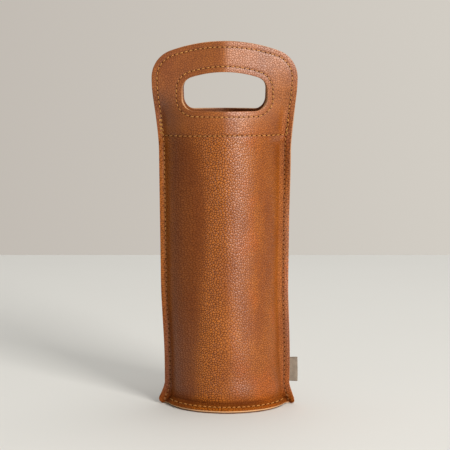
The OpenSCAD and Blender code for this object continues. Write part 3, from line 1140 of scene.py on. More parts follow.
class Nodes:
    """A node tree that is built node by node."""

    def __init__(self, tree: bpy.types.NodeTree) -> None:
        """Clears the tree."""
        self.tree = tree
        tree.nodes.clear()

    def fill(self, node: bpy.types.Node, inputs: dict[str, object]) -> None:
        """Sets a node's inputs.

        Args:
            node: the node.
            inputs: values or sockets for its inputs, by name with _ for a space, or by _0, _1
                for inputs that share a name.
        """
        for key, value in inputs.items():
            index = key[1:]
            socket = node.inputs[int(index) if index.isdigit() else key.replace("_", " ")]
            if isinstance(value, Socket):
                self.tree.links.new(value, socket)
            else:
                socket.default_value = value

    def add(self, kind: str, options: dict[str, object] | None = None, **inputs: object
            ) -> bpy.types.Node:
        """Adds a node.

        Args:
            kind: the node's type.
            options: the node's own settings.
            inputs: its inputs, as fill takes them.

        Returns:
            The node.
        """
        node = self.tree.nodes.new(kind)
        for key, value in (options or {}).items():
            setattr(node, key, value)
        self.fill(node, inputs)
        return node

    def maths(self, how: str, *values: object) -> Socket:
        """Returns the result of a Math node."""
        inputs = {f"_{i}": value for i, value in enumerate(values)}
        return self.add("ShaderNodeMath", {"operation": how}, **inputs).outputs[0]

    def chain(self, how: str, first: object, *others: object) -> Socket:
        """Returns the result of a Math node run over any count of values."""
        for other in others:
            first = self.maths(how, first, other)
        return first

    def times(self, *values: object) -> Socket:
        """Returns the product of values."""
        return self.chain("MULTIPLY", *values)

    def most(self, *values: object) -> Socket:
        """Returns the greatest of values."""
        return self.chain("MAXIMUM", *values)

    def rest(self, share: object) -> Socket:
        """Returns what is left of 1 beside a share."""
        return self.maths("SUBTRACT", 1.0, share)

    def raised(self, share: object, by: object, value: object) -> Socket:
        """Returns a value raised by an amount times a share."""
        return self.maths("MULTIPLY_ADD", share, by, value)

    def split(self, vector: object) -> tuple[Socket, ...]:
        """Returns the three numbers of a vector."""
        return tuple(self.add("ShaderNodeSeparateXYZ", Vector=vector).outputs)


class Finish(Nodes):
    """A material with a Principled shader."""

    def __init__(self, name: str) -> None:
        """Starts a material with a Principled shader on its output."""
        self.material = bpy.data.materials.new(name)
        self.material.use_nodes = True
        super().__init__(self.material.node_tree)
        self.shader = self.add("ShaderNodeBsdfPrincipled")
        self.add("ShaderNodeOutputMaterial", Surface=self.shader.outputs[0])
        self.object = self.add("ShaderNodeTexCoord").outputs["Object"]

    def uv(self, name: str) -> tuple[Socket, ...]:
        """Returns the numbers of a UV map."""
        return self.split(self.add("ShaderNodeUVMap", {"uv_map": name}).outputs[0])

    def blend(self, share: object, a: object, b: object) -> Socket:
        """Returns the mix of two colours."""
        node = self.add("ShaderNodeMix", {"data_type": "RGBA"}, _0=share, _6=a, _7=b)
        return node.outputs[2]

    def between(self, share: object, a: object, b: object) -> Socket:
        """Returns the mix of two numbers."""
        return self.add("ShaderNodeMix", {"data_type": "FLOAT"}, _0=share, _2=a, _3=b).outputs[0]

    def step(self, value: object, low: float, high: float, a: float = 0.0, b: float = 1.0
             ) -> Socket:
        """Returns a smooth step of a value from a at low to b at high."""
        node = self.add("ShaderNodeMapRange", {"interpolation_type": "SMOOTHSTEP"}, Value=value,
                        From_Min=low, From_Max=high, To_Min=a, To_Max=b)
        return node.outputs[0]

    def noise(self, vector: object, size: float, detail: float = 2.0, rough: float = 0.5
              ) -> Socket:
        """Returns noise whose lumps are about the given size in millimetres."""
        node = self.add("ShaderNodeTexNoise", Vector=vector, Scale=1000.0 / size, Detail=detail,
                        Roughness=rough)
        return node.outputs[0]

    def scaled(self, vector: object, by: Triple) -> Socket:
        """Returns a vector scaled along each axis."""
        return self.add("ShaderNodeMapping", Vector=vector, Scale=by).outputs[0]

    def pebbles(self, vector: object, size: float) -> tuple[Socket, ...]:
        """Returns pebbles of a size as plateaus and as domes, and a random tint of each."""
        edge, cell = (
            self.add("ShaderNodeTexVoronoi", {"feature": feature, "voronoi_dimensions": "2D"},
                     Vector=vector, Scale=1000.0 / size, Randomness=1.0).outputs
            for feature in ("DISTANCE_TO_EDGE", "F1"))
        plateau = self.step(edge["Distance"], 0.0, 0.2)
        dome = self.step(cell["Distance"], 0.0, 0.75, 1.0, 0.0)
        return plateau, dome, self.split(cell["Color"])[0]

    def bump(self, height: object, depth: float, strength: object, **under: Socket) -> Socket:
        """Returns a normal bent by a height whose full range is depth millimetres."""
        return self.add("ShaderNodeBump", Height=height, Distance=depth * MM, Strength=strength,
                        **under).outputs[0]

    def dress(self, **inputs: object) -> bpy.types.Material:
        """Sets the shader's inputs and returns the material."""
        self.fill(self.shader, inputs)
        return self.material


class Axis(Enum):
    """Ways over the leather along which its look changes."""

    X = "across the carrier, in millimetres"
    Z = "up from the floor, in millimetres"
    WANDER = "across, with an edge that wanders, in millimetres"
    INWARD = "inwards from a seam, in stitches"


@dataclass(frozen=True)
class Band:
    """A smooth change along an axis: two places, and the share at each.

    With about, low and high are distances from that place instead.
    """

    axis: Axis
    low: float
    high: float
    start: float = 0.0
    end: float = 1.0
    about: float | None = None

    @property
    def unit(self) -> float:
        """Unit of the places, in metres or in stitches."""
        return 1.0 if self.axis is Axis.INWARD else MM


Zone = tuple[Band, ...]


@dataclass(frozen=True)
class GrainLeather:
    """Tumbled leather, finished with hand rubbing, with needle holes along its seams.

    A zone's share is the product of its bands. Some zones darken the leather with painted shade,
    and the one on the left also with the smooth zone's own darker tone; others lighten it with
    painted light by the left seam and a painted highlight on the handle's right leg. Each
    takes the greatest share among its kind. The relief and the valleys' strength hold a plain
    value, and what the bold zone and the handle add to it. The golden share holds a plain value,
    and what the smooth zone adds to it.
    """

    name: str = "tumbled_leather"
    golden: Colour = (188, 106, 22)
    warm: Colour = (172, 84, 8)
    light: Colour = (168, 93, 21)
    mid: Colour = (147, 76, 13)
    dark: Colour = (117, 58, 18)
    valley: Colour = (88, 38, 6)
    # The needle holes' colour is painted shade.
    hole: Colour = (48, 22, 8)
    pebble: float = 2.2
    plain: Triple = (0.88, 1.0, 1.0)
    drawn: Triple = (0.48, 1.2, 1.0)
    warp: float = 1.8
    half_depth: float = 42.0
    unroll: float = 0.7
    unroll_reach: float = 30.0
    wander_size: float = 55.0
    wander_reach: float = 50.0
    cloud_size: float = 26.0
    smoke_size: float = 60.0
    patch_size: float = 30.0
    dent_size: float = 9.0
    dent_depth: float = 0.5
    hole_depth: float = 0.6
    golden_share: Span = (0.44, -0.4)
    depth: float = 0.38
    relief: Triple = (0.42, 0.65, -0.26)
    valley_strength: Triple = (0.94, 0.7, -0.2)
    valley_share: float = 0.9
    tint_share: float = 0.14
    # Share of painted shade in the groove along each seam.
    groove_painted_shade: float = 0.34
    rough: float = 0.37
    body: Zone = (Band(Axis.Z, 262.0, 290.0, 1.0, 0.0),)
    handle: Zone = (Band(Axis.Z, 262.0, 300.0),)
    smooth: Zone = (Band(Axis.WANDER, -37.0, -20.0, 1.0, 0.0),) + body
    bold: Zone = (Band(Axis.WANDER, -42.0, -20.0), Band(Axis.WANDER, -16.0, 10.0, 1.0, 0.0)) + body
    # Painted shade on the left side, also standing for the smooth zone's own darker tone.
    left_tone_and_painted_shade: Zone = smooth + (Band(Axis.X, -58.0, -47.0, 0.1, 0.62),)
    # Painted shade in a strip towards the right seam.
    strip_painted_shade: Zone = (Band(Axis.WANDER, 4.0, 13.0, 0.26, 0.0, about=45.0),)
    # Painted shade low on the right, towards the foot.
    right_foot_painted_shade: Zone = (Band(Axis.Z, 25.0, 80.0, 0.5, 0.0), Band(Axis.X, 25.0, 50.0))
    # Painted shade in the crease low beside the left seam.
    left_foot_painted_shade: Zone = (Band(Axis.Z, 40.0, 100.0, 0.95, 0.0),
                             Band(Axis.X, -56.0, -50.0, 1.0, 0.0))
    # Painted shade on the handle's left half, which turns from the lamp.
    handle_painted_shade: Zone = handle + (Band(Axis.X, -30.0, 4.0, 0.36, 0.0),)
    warm_patches: Zone = body + (Band(Axis.X, 0.0, 20.0),)
    # Painted light beside the left seam, where it turns from the lamp.
    seam_painted_light: Zone = body + (Band(Axis.X, -57.5, -47.0, 0.85, 0.0), Band(Axis.Z, 80.0, 150.0))
    # Painted highlight on the handle's right leg.
    leg_painted_highlight: Zone = (Band(Axis.Z, 285.0, 300.0), Band(Axis.Z, 318.0, 336.0, 0.8, 0.0),
                      Band(Axis.X, 38.0, 50.0))
    # Painted shade in the crease above the base seam; it also dulls the leather there.
    crease: Zone = (Band(Axis.Z, 0.6, 3.4, 0.7, 0.0, about=8.2),
                    Band(Axis.X, 30.0, 50.0, 1.0, 0.25, about=0.0))
    beside_seam: Zone = (Band(Axis.X, 42.0, 48.0), Band(Axis.Z, 285.0, 300.0, 1.0, 0.0))
    fold_rub: Zone = beside_seam + (Band(Axis.INWARD, 0.34, 0.62, 0.85, 0.0, about=0.6),)
    hem_rub: Zone = (Band(Axis.Z, 5.0, 9.0, 0.85, 0.0, about=268.5), Band(Axis.X, 47.0, 52.0))
    # Strength of the needle holes' painted shade across the carrier.
    hole_painted_shade: Zone = (Band(Axis.X, -30.0, 30.0, 0.7, 0.92),)
    dull_foot: Zone = (Band(Axis.Z, 6.0, 20.0, 0.8, 0.0),)
    dry: Zone = smooth + (Band(Axis.Z, 50.0, 110.0, 0.0, 0.35),)
    handle_shine: Zone = handle + (Band(Axis.X, -30.0, 50.0, 0.4, 1.0),)
    flange_shine: Zone = beside_seam + (Band(Axis.INWARD, -0.3, -0.05, 0.9, 0.0),
                                        Band(Axis.Z, 30.0, 80.0))
    belly_shine: Zone = body + (Band(Axis.X, 3.0, 13.0, 0.34, 0.0, about=19.0),
                                Band(Axis.Z, 30.0, 150.0, 0.1, 1.0))

    def made(self) -> bpy.types.Material:
        """Returns the material."""
        return GrainNodes(self).made()


class GrainNodes(Finish):
    """The nodes of the grain leather."""

    def __init__(self, look: GrainLeather) -> None:
        """Finds the holes, the zones and the grain that the finish is mixed from."""
        super().__init__(look.name)
        self.look = look
        x, _, z = self.split(self.object)
        wander = self.noise(self.scaled(self.object, (1.0, 1.0, 0.35)), look.wander_size, 3.0)
        wander = self.raised(self.maths("SUBTRACT", wander, 0.5), look.wander_reach * MM, x)
        self.pit, self.groove, inward = self.holes()
        self.along = {Axis.X: x, Axis.Z: z, Axis.WANDER: wander, Axis.INWARD: inward}
        self.handle, self.smooth = self.zone(look.handle), self.zone(look.smooth)
        # The crease zone lays painted shade in the crease and dulls it.
        self.bold, self.rub_and_crease_shade = self.zone(look.bold), self.zone(look.crease)
        self.dull = self.most(self.pit, self.rub_and_crease_shade, self.zone(look.dull_foot))
        self.height, self.dome, self.tint = self.grain()

    def band(self, band: Band) -> Socket:
        """Returns the share of a band."""
        value, unit = self.along[band.axis], band.unit
        if band.about is not None:
            value = self.maths("ABSOLUTE", self.maths("SUBTRACT", value, band.about * unit))
        return self.step(value, band.low * unit, band.high * unit, band.start, band.end)

    def zone(self, zone: Zone) -> Socket:
        """Returns the share of a zone."""
        return self.times(*map(self.band, zone))

    def by_zone(self, plain: float, bold: float, handle: float) -> Socket:
        """Returns a number with what the bold zone and the handle add to it."""
        return self.raised(self.handle, handle, self.raised(self.bold, bold, plain))

    def holes(self) -> tuple[Socket, ...]:
        """Returns a point's depth in a needle hole and in the groove, and its place inwards."""
        along, inward, _ = self.uv(SeamMap.NAME)
        near, off = self.maths("PINGPONG", along, 0.5), self.maths("ABSOLUTE", inward)
        far = self.maths("SQRT", self.raised(near, near, self.times(off, off)))
        return self.step(far, 0.09, 0.18, 1.0, 0.0), self.step(off, 0.05, 0.45, 1.0, 0.0), inward

    def grain(self) -> tuple[Socket, ...]:
        """Returns how far a point is out of the valleys, its height, and its pebble's tint."""
        warp = self.add("ShaderNodeTexNoise", Vector=self.object, Scale=260.0, Detail=2.0)
        warp = self.add("ShaderNodeVectorMath", {"operation": "SUBTRACT"}, _0=warp.outputs[1],
                        _1=(0.5, 0.5, 0.5)).outputs[0]
        bent = self.add("ShaderNodeVectorMath", {"operation": "MULTIPLY_ADD"}, _0=warp,
                        _1=(self.look.warp * MM,) * 3, _2=self.object).outputs[0]
        flat = self.unrolled(bent)
        plain, drawn = (self.pebbles(self.scaled(flat, by), self.look.pebble)
                        for by in (self.look.plain, self.look.drawn))
        share = self.times(self.smooth, self.rest(self.bold))
        return tuple(self.between(share, a, b) for a, b in zip(plain, drawn))

    def unrolled(self, co: object) -> Socket:
        """Returns places laid flat: round the body as x, and up it as y."""
        x, y, z = self.split(co)
        look, off = self.look, self.maths("ABSOLUTE", y)
        reach = look.unroll_reach * MM
        turn = self.step(x, -reach, reach, -look.unroll, look.unroll)
        along = self.raised(turn, self.maths("SUBTRACT", look.half_depth * MM, off), x)
        return self.add("ShaderNodeCombineXYZ", X=along, Y=self.raised(off, -0.5, z)).outputs[0]

    def tone(self) -> Socket:
        """Returns the colour of the plateaus."""
        look = self.look
        cloud = self.noise(self.scaled(self.object, (1.0, 1.0, 0.5)), look.cloud_size, 2.0, 0.4)
        stretched = self.scaled(self.object, (1.0, 1.0, 0.6))
        smoke = self.noise(stretched, look.smoke_size, 2.0, 0.45)
        smoke = self.step(smoke, 0.52, 0.72, 0.0, 0.55)
        patch = self.step(self.noise(stretched, look.patch_size), 0.52, 0.68, 0.0, 0.6)
        plain, smoother = look.golden_share
        # Zones of painted shade; the left one also stands for the smooth zone's own darker tone.
        painted_shades = (look.left_tone_and_painted_shade, look.strip_painted_shade, look.right_foot_painted_shade, look.left_foot_painted_shade,
                  look.handle_painted_shade)
        layers = (
            (self.step(cloud, 0.3, 0.66), look.light),
            # Random smoke, and the painted shade of those zones.
            (self.most(smoke, *map(self.zone, painted_shades)), look.dark),
            (self.times(patch, self.zone(look.warm_patches)), look.warm),
            # Painted light by the left seam and a painted highlight on the right leg.
            (self.most(self.zone(look.seam_painted_light), self.zone(look.leg_painted_highlight)), look.light),
            (self.times(self.bold, self.raised(self.smooth, smoother, plain)), look.golden),
        )
        return self.layered(linear(look.mid), layers)

    def layered(self, colour: object, layers: tuple[tuple[object, Colour], ...]) -> Socket:
        """Returns a colour with others laid over it, each by its share."""
        for share, over in layers:
            colour = self.blend(share, colour, linear(over))
        return colour

    def colour(self) -> Socket:
        """Returns the tone and valleys, with painted shade in the crease, grooves and holes."""
        look = self.look
        low = self.times(self.rest(self.height), self.by_zone(*look.valley_strength))
        tint = self.step(self.tint, 0.0, 1.0, look.tint_share, 0.0)
        low = self.raised(low, look.valley_share, tint)
        return self.layered(self.tone(), (
            (low, look.valley),
            # Painted shade in the crease.
            (self.rub_and_crease_shade, look.valley),
            # Painted shade in the grooves along the seams.
            (self.times(self.groove, look.groove_painted_shade), look.valley),
            # Painted shade in the needle holes.
            (self.times(self.pit, self.zone(look.hole_painted_shade)), look.hole),
        ))

    def normal(self) -> Socket:
        """Returns the normal over the pebbles, soft dents, grooves and holes."""
        look = self.look
        pebble = self.between(0.65, self.height, self.dome)
        normal = self.bump(pebble, look.depth, self.by_zone(*look.relief))
        dents = self.noise(self.object, look.dent_size)
        normal = self.bump(dents, look.dent_depth, 0.25, Normal=normal)
        pull = self.most(self.pit, self.times(self.groove, 0.3))
        return self.bump(self.rest(pull), look.hole_depth, 0.6, Normal=normal)

    def roughness(self) -> Socket:
        """Returns the roughness, which the valleys, the smooth zone and rubbing raise."""
        look = self.look
        rough = self.between(self.height, look.rough + 0.2, look.rough)
        worn = self.most(self.dull, self.zone(look.fold_rub), self.zone(look.hem_rub))
        rough = self.between(worn, self.raised(self.smooth, 0.1, rough), 0.85)
        return self.raised(self.handle, 0.1, rough)

    def shine(self) -> Socket:
        """Returns the specular level, which is low in the valleys and where the leather is dull."""
        look = self.look
        bright = map(self.zone, (look.handle_shine, look.flange_shine, look.belly_shine))
        shine = self.chain("ADD", self.rest(self.zone(look.dry)), *bright)
        low = self.raised(self.handle, 0.1, 0.18)
        return self.times(shine, self.rest(self.dull), self.between(self.height, low, 0.5))

    def made(self) -> bpy.types.Material:
        """Returns the material."""
        return self.dress(Base_Color=self.colour(), Roughness=self.roughness(),
                          Normal=self.normal(), IOR=1.5, Specular_IOR_Level=self.shine())


@dataclass(frozen=True)
class CutLeather:
    """The raw cut edge of the leather, pale and fibrous, with a rubbing of wax on it."""

    name: str = "cut_leather_edge"
    pale: Colour = (224, 178, 128)
    waxed: Colour = (152, 92, 48)
    dark_fibre_and_shade: Colour = (108, 62, 30)

    def made(self) -> bpy.types.Material:
        """Returns the material."""
        mat = Finish(self.name)
        fibre = mat.noise(mat.object, 0.8, 3.0, 0.7)
        rub_and_crease_shade = mat.noise(mat.object, 14.0, 3.0, 0.6)
        height = mat.split(mat.object)[2]
        wax = mat.times(mat.step(height, 0.006, 0.03, 0.2, 0.75),
                        mat.step(rub_and_crease_shade, 0.3, 0.6, 0.6, 1.0))
        colour = mat.blend(wax, linear(self.pale), linear(self.waxed))
        colour = mat.blend(mat.times(mat.step(fibre, 0.5, 0.75), 0.35), colour, linear(self.dark_fibre_and_shade))
        normal = mat.bump(fibre, 0.3, 0.5)
        return mat.dress(Base_Color=colour, Roughness=0.72, Normal=normal)


@dataclass(frozen=True)
class FleshLeather:
    """The napped flesh side of the leather, seen inside the carrier."""

    name: str = "leather_flesh_side"
    pale: Colour = (176, 122, 76)
    dark: Colour = (138, 88, 50)

    def made(self) -> bpy.types.Material:
        """Returns the material."""
        mat = Finish(self.name)
        nap = mat.noise(mat.object, 1.1, 4.0, 0.75)
        cloud = mat.noise(mat.object, 26.0, 3.0, 0.6)
        share = mat.between(0.45, mat.step(cloud, 0.3, 0.7), mat.step(nap, 0.3, 0.7))
        colour = mat.blend(share, linear(self.pale), linear(self.dark))
        normal = mat.bump(nap, 0.35, 0.6)
        return mat.dress(Base_Color=colour, Roughness=0.9, Normal=normal, Sheen_Weight=0.25,
                         Sheen_Roughness=0.5)


@dataclass(frozen=True)
class WaxedThread:
    """Twisted golden sewing thread."""

    name: str = "golden_thread"
    light: Colour = (232, 170, 84)
    worn: Colour = (208, 138, 62)
    dark: Colour = (148, 86, 34)
    # Colour of the painted shade low on the thread, and the heights over which it fades.
    dark_fibre_and_shade: Colour = (132, 76, 32)
    painted_shade_fade: Span = (-2.0, -1.0)

    def made(self) -> bpy.types.Material:
        """Returns the material."""
        mat = Finish(self.name)
        around, along, _ = mat.uv(StitchRun.TWIST)
        turn = mat.raised(along, 5.0, mat.times(around, 2.0))
        ply = mat.step(mat.maths("PINGPONG", turn, 0.5), 0.04, 0.3)
        worn = mat.noise(mat.object, 7.0, 2.0)
        tone = mat.blend(mat.step(worn, 0.3, 0.7), linear(self.light), linear(self.worn))
        # Painted shade in the grooves between the plies.
        colour = mat.blend(ply, linear(self.dark), tone)
        # Painted shade on the thread below a height.
        thread_painted_shade = mat.step(mat.split(mat.object)[2], *self.painted_shade_fade, 0.75, 0.0)
        colour = mat.blend(thread_painted_shade, colour, linear(self.dark_fibre_and_shade))
        normal = mat.bump(ply, 0.2, 0.7)
        return mat.dress(Base_Color=colour, Roughness=0.5, Normal=normal)


@dataclass(frozen=True)
class WovenTape:
    """Plain woven label tape, with a fine rib and slightly darker edges."""

    name: str = "woven_tape"
    light: Colour = (150, 136, 119)
    dark: Colour = (114, 101, 87)
    selvage: Colour = (98, 82, 66)

    def made(self) -> bpy.types.Material:
        """Returns the material."""
        mat = Finish(self.name)
        along, height, _ = mat.uv(SideLabel.TAPE)
        weave = mat.times(*(
            mat.step(mat.maths("PINGPONG", mat.times(place, threads), 0.5), 0.0, 0.4)
            for place, threads in ((along, 1800.0), (height, 1300.0))))
        worn = mat.noise(mat.object, 6.0, 3.0)
        share = mat.between(0.4, weave, mat.step(worn, 0.3, 0.7))
        colour = mat.blend(share, linear(self.dark), linear(self.light))
        low = mat.step(height, 0.0004, 0.0012, 1.0, 0.0)
        edge = mat.times(mat.maths("ADD", low, mat.step(height, 0.0228, 0.0236)), 0.55)
        colour = mat.blend(edge, colour, linear(self.selvage))
        normal = mat.bump(weave, 0.12, 0.6)
        return mat.dress(Base_Color=colour, Roughness=0.78, Normal=normal, Sheen_Weight=0.15)


@dataclass(frozen=True)
class PlainGround:
    """The plain pale floor."""

    name: str = "pale_floor"
    colour: Colour = (220, 219, 214)
    cloud: Colour = (196, 190, 180)

    def made(self) -> bpy.types.Material:
        """Returns the material."""
        mat = Finish(self.name)
        share = mat.times(mat.noise(mat.object, 400.0, 3.0), 0.1)
        colour = mat.blend(share, linear(self.colour), linear(self.cloud))
        return mat.dress(Base_Color=colour, Roughness=0.95, Specular_IOR_Level=0.1)


# Studio


@dataclass(frozen=True)
class Lamp:
    """A soft lamp that faces the carrier's middle.

    Angles are in degrees, to the right of the camera and above the floor, distance, size and aim,
    which is the height that it faces, in metres, and power in watts.
    """

    name: str
    turn: float
    rise: float
    distance: float
    power: float
    size: tuple[float, float]
    colour: Triple
    aim: float = 0.19

    def hang(self) -> None:
        """Hangs the lamp."""
        data = bpy.data.lights.new(self.name, "AREA")
        data.shape = "RECTANGLE"
        data.size, data.size_y = self.size
        data.energy = self.power
        data.color = self.colour
        a, e = math.radians(self.turn), math.radians(self.rise)
        way = Vector((math.sin(a) * math.cos(e), -math.cos(a) * math.cos(e), math.sin(e)))
        lamp = bpy.data.objects.new(self.name, data)
        lamp.location = Vector((0.0, 0.0, self.aim)) + way * self.distance
        lamp.rotation_euler = way.to_track_quat("Z", "Y").to_euler()
        bpy.context.scene.collection.objects.link(lamp)


@dataclass(frozen=True)
class Studio:
    """Pale floor and backdrop, soft light from the right, and the camera."""

    floor_half: float = 1137.0
    # The camera sees the backdrop darker to the left: painted shade.
    wall_left: Colour = (190, 183, 175)
    wall_right: Colour = (214, 209, 200)
    sky: tuple[float, float, float, float] = (1.0, 0.985, 0.96, 1.0)
    wall_fade: Span = (0.4, 0.6)
    ambient: Span = (0.31, 0.42)
    lamps: tuple[Lamp, ...] = (
        Lamp("key", 34.0, 18.0, 4.2, 204.0, (1.4, 2.5), (1.0, 0.98, 0.955)),
        Lamp("overhead", 150.0, 76.0, 3.4, 52.0, (2.6, 2.6), (1.0, 0.995, 0.985)),
    )
    camera_place: Triple = (0.4, -1700.0, 375.0)
    pitch: float = 6.527
    focal: float = 1714.0
    image: int = 450
    sensor: float = 36.0

    def floor(self) -> None:
        """Lays the floor."""
        bm = bmesh.new()
        bmesh.ops.create_grid(bm, x_segments=1, y_segments=1, size=self.floor_half * MM)
        shown(bm, "floor", [PlainGround().made()])

    def world(self) -> None:
        """Sets a pale backdrop with painted shade on its left, and a dim light from all round."""
        world = bpy.data.worlds.new("backdrop")
        bpy.context.scene.world = world
        world.use_nodes = True
        nodes = Nodes(world.node_tree)
        way = nodes.split(nodes.add("ShaderNodeTexCoord").outputs["Generated"])[0]
        least, most = self.ambient
        level = nodes.add("ShaderNodeMapRange", Value=way, From_Min=-1.0, From_Max=1.0,
                          To_Min=least, To_Max=most)
        light = nodes.add("ShaderNodeBackground", Color=self.sky, Strength=level.outputs[0])
        # The backdrop fades from the darker left colour to the right one: painted shade.
        half = nodes.add("ShaderNodeMapRange", Value=way, From_Min=-1.0)
        fade = nodes.add("ShaderNodeValToRGB", _0=half.outputs[0])
        for stop, place, colour in zip(fade.color_ramp.elements, self.wall_fade,
                                       (self.wall_left, self.wall_right)):
            stop.position, stop.color = place, linear(colour)
        wall = nodes.add("ShaderNodeBackground", Color=fade.outputs[0])
        path = nodes.add("ShaderNodeLightPath").outputs
        seen = nodes.most(path["Is Camera Ray"], path["Is Transmission Ray"])
        both = nodes.add("ShaderNodeMixShader", _0=seen, _1=light.outputs[0], _2=wall.outputs[0])
        nodes.add("ShaderNodeOutputWorld", Surface=both.outputs[0])

    def camera(self) -> None:
        """Sets the camera at the photograph's viewing angle."""
        data = bpy.data.cameras.new("camera")
        data.sensor_width = self.sensor
        data.lens = self.focal / self.image * self.sensor
        data.clip_end = 20.0
        camera = bpy.data.objects.new("camera", data)
        camera.location = Vector(self.camera_place) * MM
        camera.rotation_euler = (math.radians(90.0 - self.pitch), 0.0, 0.0)
        bpy.context.scene.collection.objects.link(camera)
        bpy.context.scene.camera = camera

    def set_up(self) -> None:
        """Sets the floor, the light, the camera and the plain view."""
        self.floor()
        self.world()
        for lamp in self.lamps:
            lamp.hang()
        self.camera()
        bpy.context.scene.view_settings.view_transform = "Standard"


# The whole carrier


@dataclass(frozen=True)
class SideSewing:
    """How one side seam is sewn, and where its tacks run beside it at the mouth."""

    name: str
    sign: int
    radius: float
    lift: float
    tack_rows: tuple[float, ...]


@dataclass
class Carrier:
    """The whole carrier: leather, threads and label.

    The facing seed is that of the threads round the hand hole and along the facing's hem.
    """

    form: CarrierForm = field(default_factory=CarrierForm)
    seams: dict[str, Seam] = field(default_factory=dict)
    finishes: dict[str, bpy.types.Material] = field(default_factory=dict)
    foot: float = 0.12
    lowest_stitch: float = 1.6
    hem_middle: float = 1.0
    hem_bow: float = 1.4
    hem_tilt: float = 0.4
    hem_end: float = 0.4
    base_radius: float = 0.38
    sides: tuple[SideSewing, ...] = (
        SideSewing("left", -1, 0.42, 0.14, (1.0, 2.2)),
        SideSewing("right", 1, 0.36, 0.0, (1.0,)),
    )
    tack: float = 16.0
    tack_radius: float = 0.48
    tack_lift: float = 0.5
    tack_pitch: float = 3.9
    foot_tack: Triple = (1.9, 10.5, 1.1)
    foot_tack_lift: float = 0.45
    edge_seed: int = 5
    facing_seed: int = 7
    base_seed: int = 9
    side_seed: int = 12
    tack_seed: int = 15

    def make_finishes(self) -> None:
        """Makes the finishes."""
        self.finishes = {
            "grain": GrainLeather().made(),
            "cut": CutLeather().made(),
            # The base's cut edge is given darker colours than the panels'.
            "stained": CutLeather("stained_leather_edge", (112, 66, 34), (92, 52, 26)).made(),
            "flesh": FleshLeather().made(),
            "thread": WaxedThread().made(),
            # The side seams' threads take painted shade below these heights.
            "left": WaxedThread("left_seam_thread", painted_shade_fade=(0.07, 0.21)).made(),
            "right": WaxedThread("right_seam_thread", painted_shade_fade=(0.255, 0.275)).made(),
            "tape": WovenTape().made(),
        }

    def hem_path(self) -> Array:
        """Returns the line of stitches along a facing's lower edge."""
        height = self.form.hem_height
        reach = float(self.form.fold_x(np.array(height))) - self.hem_end
        u = np.linspace(-1.0, 1.0, 200)
        bow = self.hem_middle - self.hem_bow * u**2 + self.hem_tilt * u
        return np.stack([reach * u, height + bow], axis=1)

    def base_path(self) -> Array:
        """Returns the line of stitches that holds the base."""
        height = self.form.base_stitch_height
        turn, radius = (float(v) for v in self.form.section(np.array(height)))
        t = np.linspace(-turn, turn, 300)
        return np.stack([radius * np.sin(t), np.full_like(t, height)], axis=1)

    def lay_seams(self) -> None:
        """Lays every seam on both faces of its leather."""
        form, line = self.form, self.form.outline
        out = form.panel / 2
        paths = {
            "edge": line.edge(self.lowest_stitch, form.inset),
            "hole": joined(*line.hole(form.inset)),
            "hem": self.hem_path(),
        }
        base, under = self.base_path(), -(out + form.layer_gap + form.base)
        for panel in Side:
            name = panel.name.lower()
            for face, shift in (("outer", out), ("inner", form.facing_front)):
                for part, path in paths.items():
                    seam = Seam(path, panel, shift, closed=part == "hole")
                    self.seams[f"{name}_{part}_{face}"] = seam
            self.seams[f"{name}_base_outer"] = Seam(base, panel, out)
            self.seams[f"{name}_base_inner"] = Seam(base, panel, under)
        for seam in self.seams.values():
            seam.lay(form)

    def map_of(self, panel: Side, face: Face) -> SeamMap:
        """Returns the map of the seams that show on one face of a panel."""
        ends = panel.name.lower(), face.name.lower()
        return SeamMap([s for n, s in self.seams.items() if n.startswith(ends[0])
                        and n.endswith(ends[1]) and (face is Face.OUTER or "base" not in n)])

    def keep(self, bm: Mesh, name: str, finishes: list[str], slot: str,
             *nodes: str) -> bpy.types.Object:
        """Makes a piece of a mesh and hides the solids that it stands for.

        Args:
            bm: the built mesh.
            name: the piece's name.
            finishes: names of its finishes, in the order of its slots.
            slot: not used.
            nodes: the solids that it stands for.

        Returns:
            The piece.
        """
        piece = shown(bm, name, [self.finishes[f] for f in finishes])
        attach(piece, BODY)
        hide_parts(*nodes)
        LOG.info("%s: %d faces", name, len(piece.data.polygons))
        return piece

    def cut_leather(self) -> None:
        """Builds the panels, the facings and the base."""
        form, leather = self.form, ["grain", "cut", "flesh"]
        for panel in Side:
            name = panel.name.lower()
            cut = LeatherCut(form, panel, form.panel / 2, form.panel, form.facing_low, Face.OUTER)
            bm = cut.built(self.map_of(panel, Face.OUTER), self.foot)
            self.keep(bm, f"{name}_panel_leather", leather, "panel_leather", f"{name}_panel")
            lining = LeatherCut(form, panel, form.facing_back, form.facing, form.facing_low,
                                Face.INNER, arc_steps=34, fold_steps=4, flange_steps=4,
                                side_steps=34, top_steps=90, rings=18)
            bm = lining.built(self.map_of(panel, Face.INNER), None)
            self.keep(bm, f"{name}_facing_leather", leather, "lining_leather", f"{name}_facing")
        under = SeamMap([self.seams["front_base_inner"], self.seams["back_base_inner"]])
        self.keep(BasePlate(form).built(under), "base_leather", ["grain", "stained", "flesh"],
                  "panel_leather", "base")

    def holes_between(self, seam: Seam, low: float, high: float) -> list[tuple[int, int]]:
        """Returns the runs of stitches of a seam that lie between two heights.

        Args:
            seam: the laid seam.
            low: lower height in millimetres.
            high: upper height in millimetres.

        Returns:
            Pairs of a first and a last needle hole.
        """
        runs: list[tuple[int, int]] = []
        for k in range(seam.count):
            z = seam.points[int((k + 0.5) * seam.FINE)][2] / MM
            if not low <= z < high:
                continue
            if runs and runs[-1][1] == k:
                runs[-1] = (runs[-1][0], k + 1)
            else:
                runs.append((k, k + 1))
        return runs

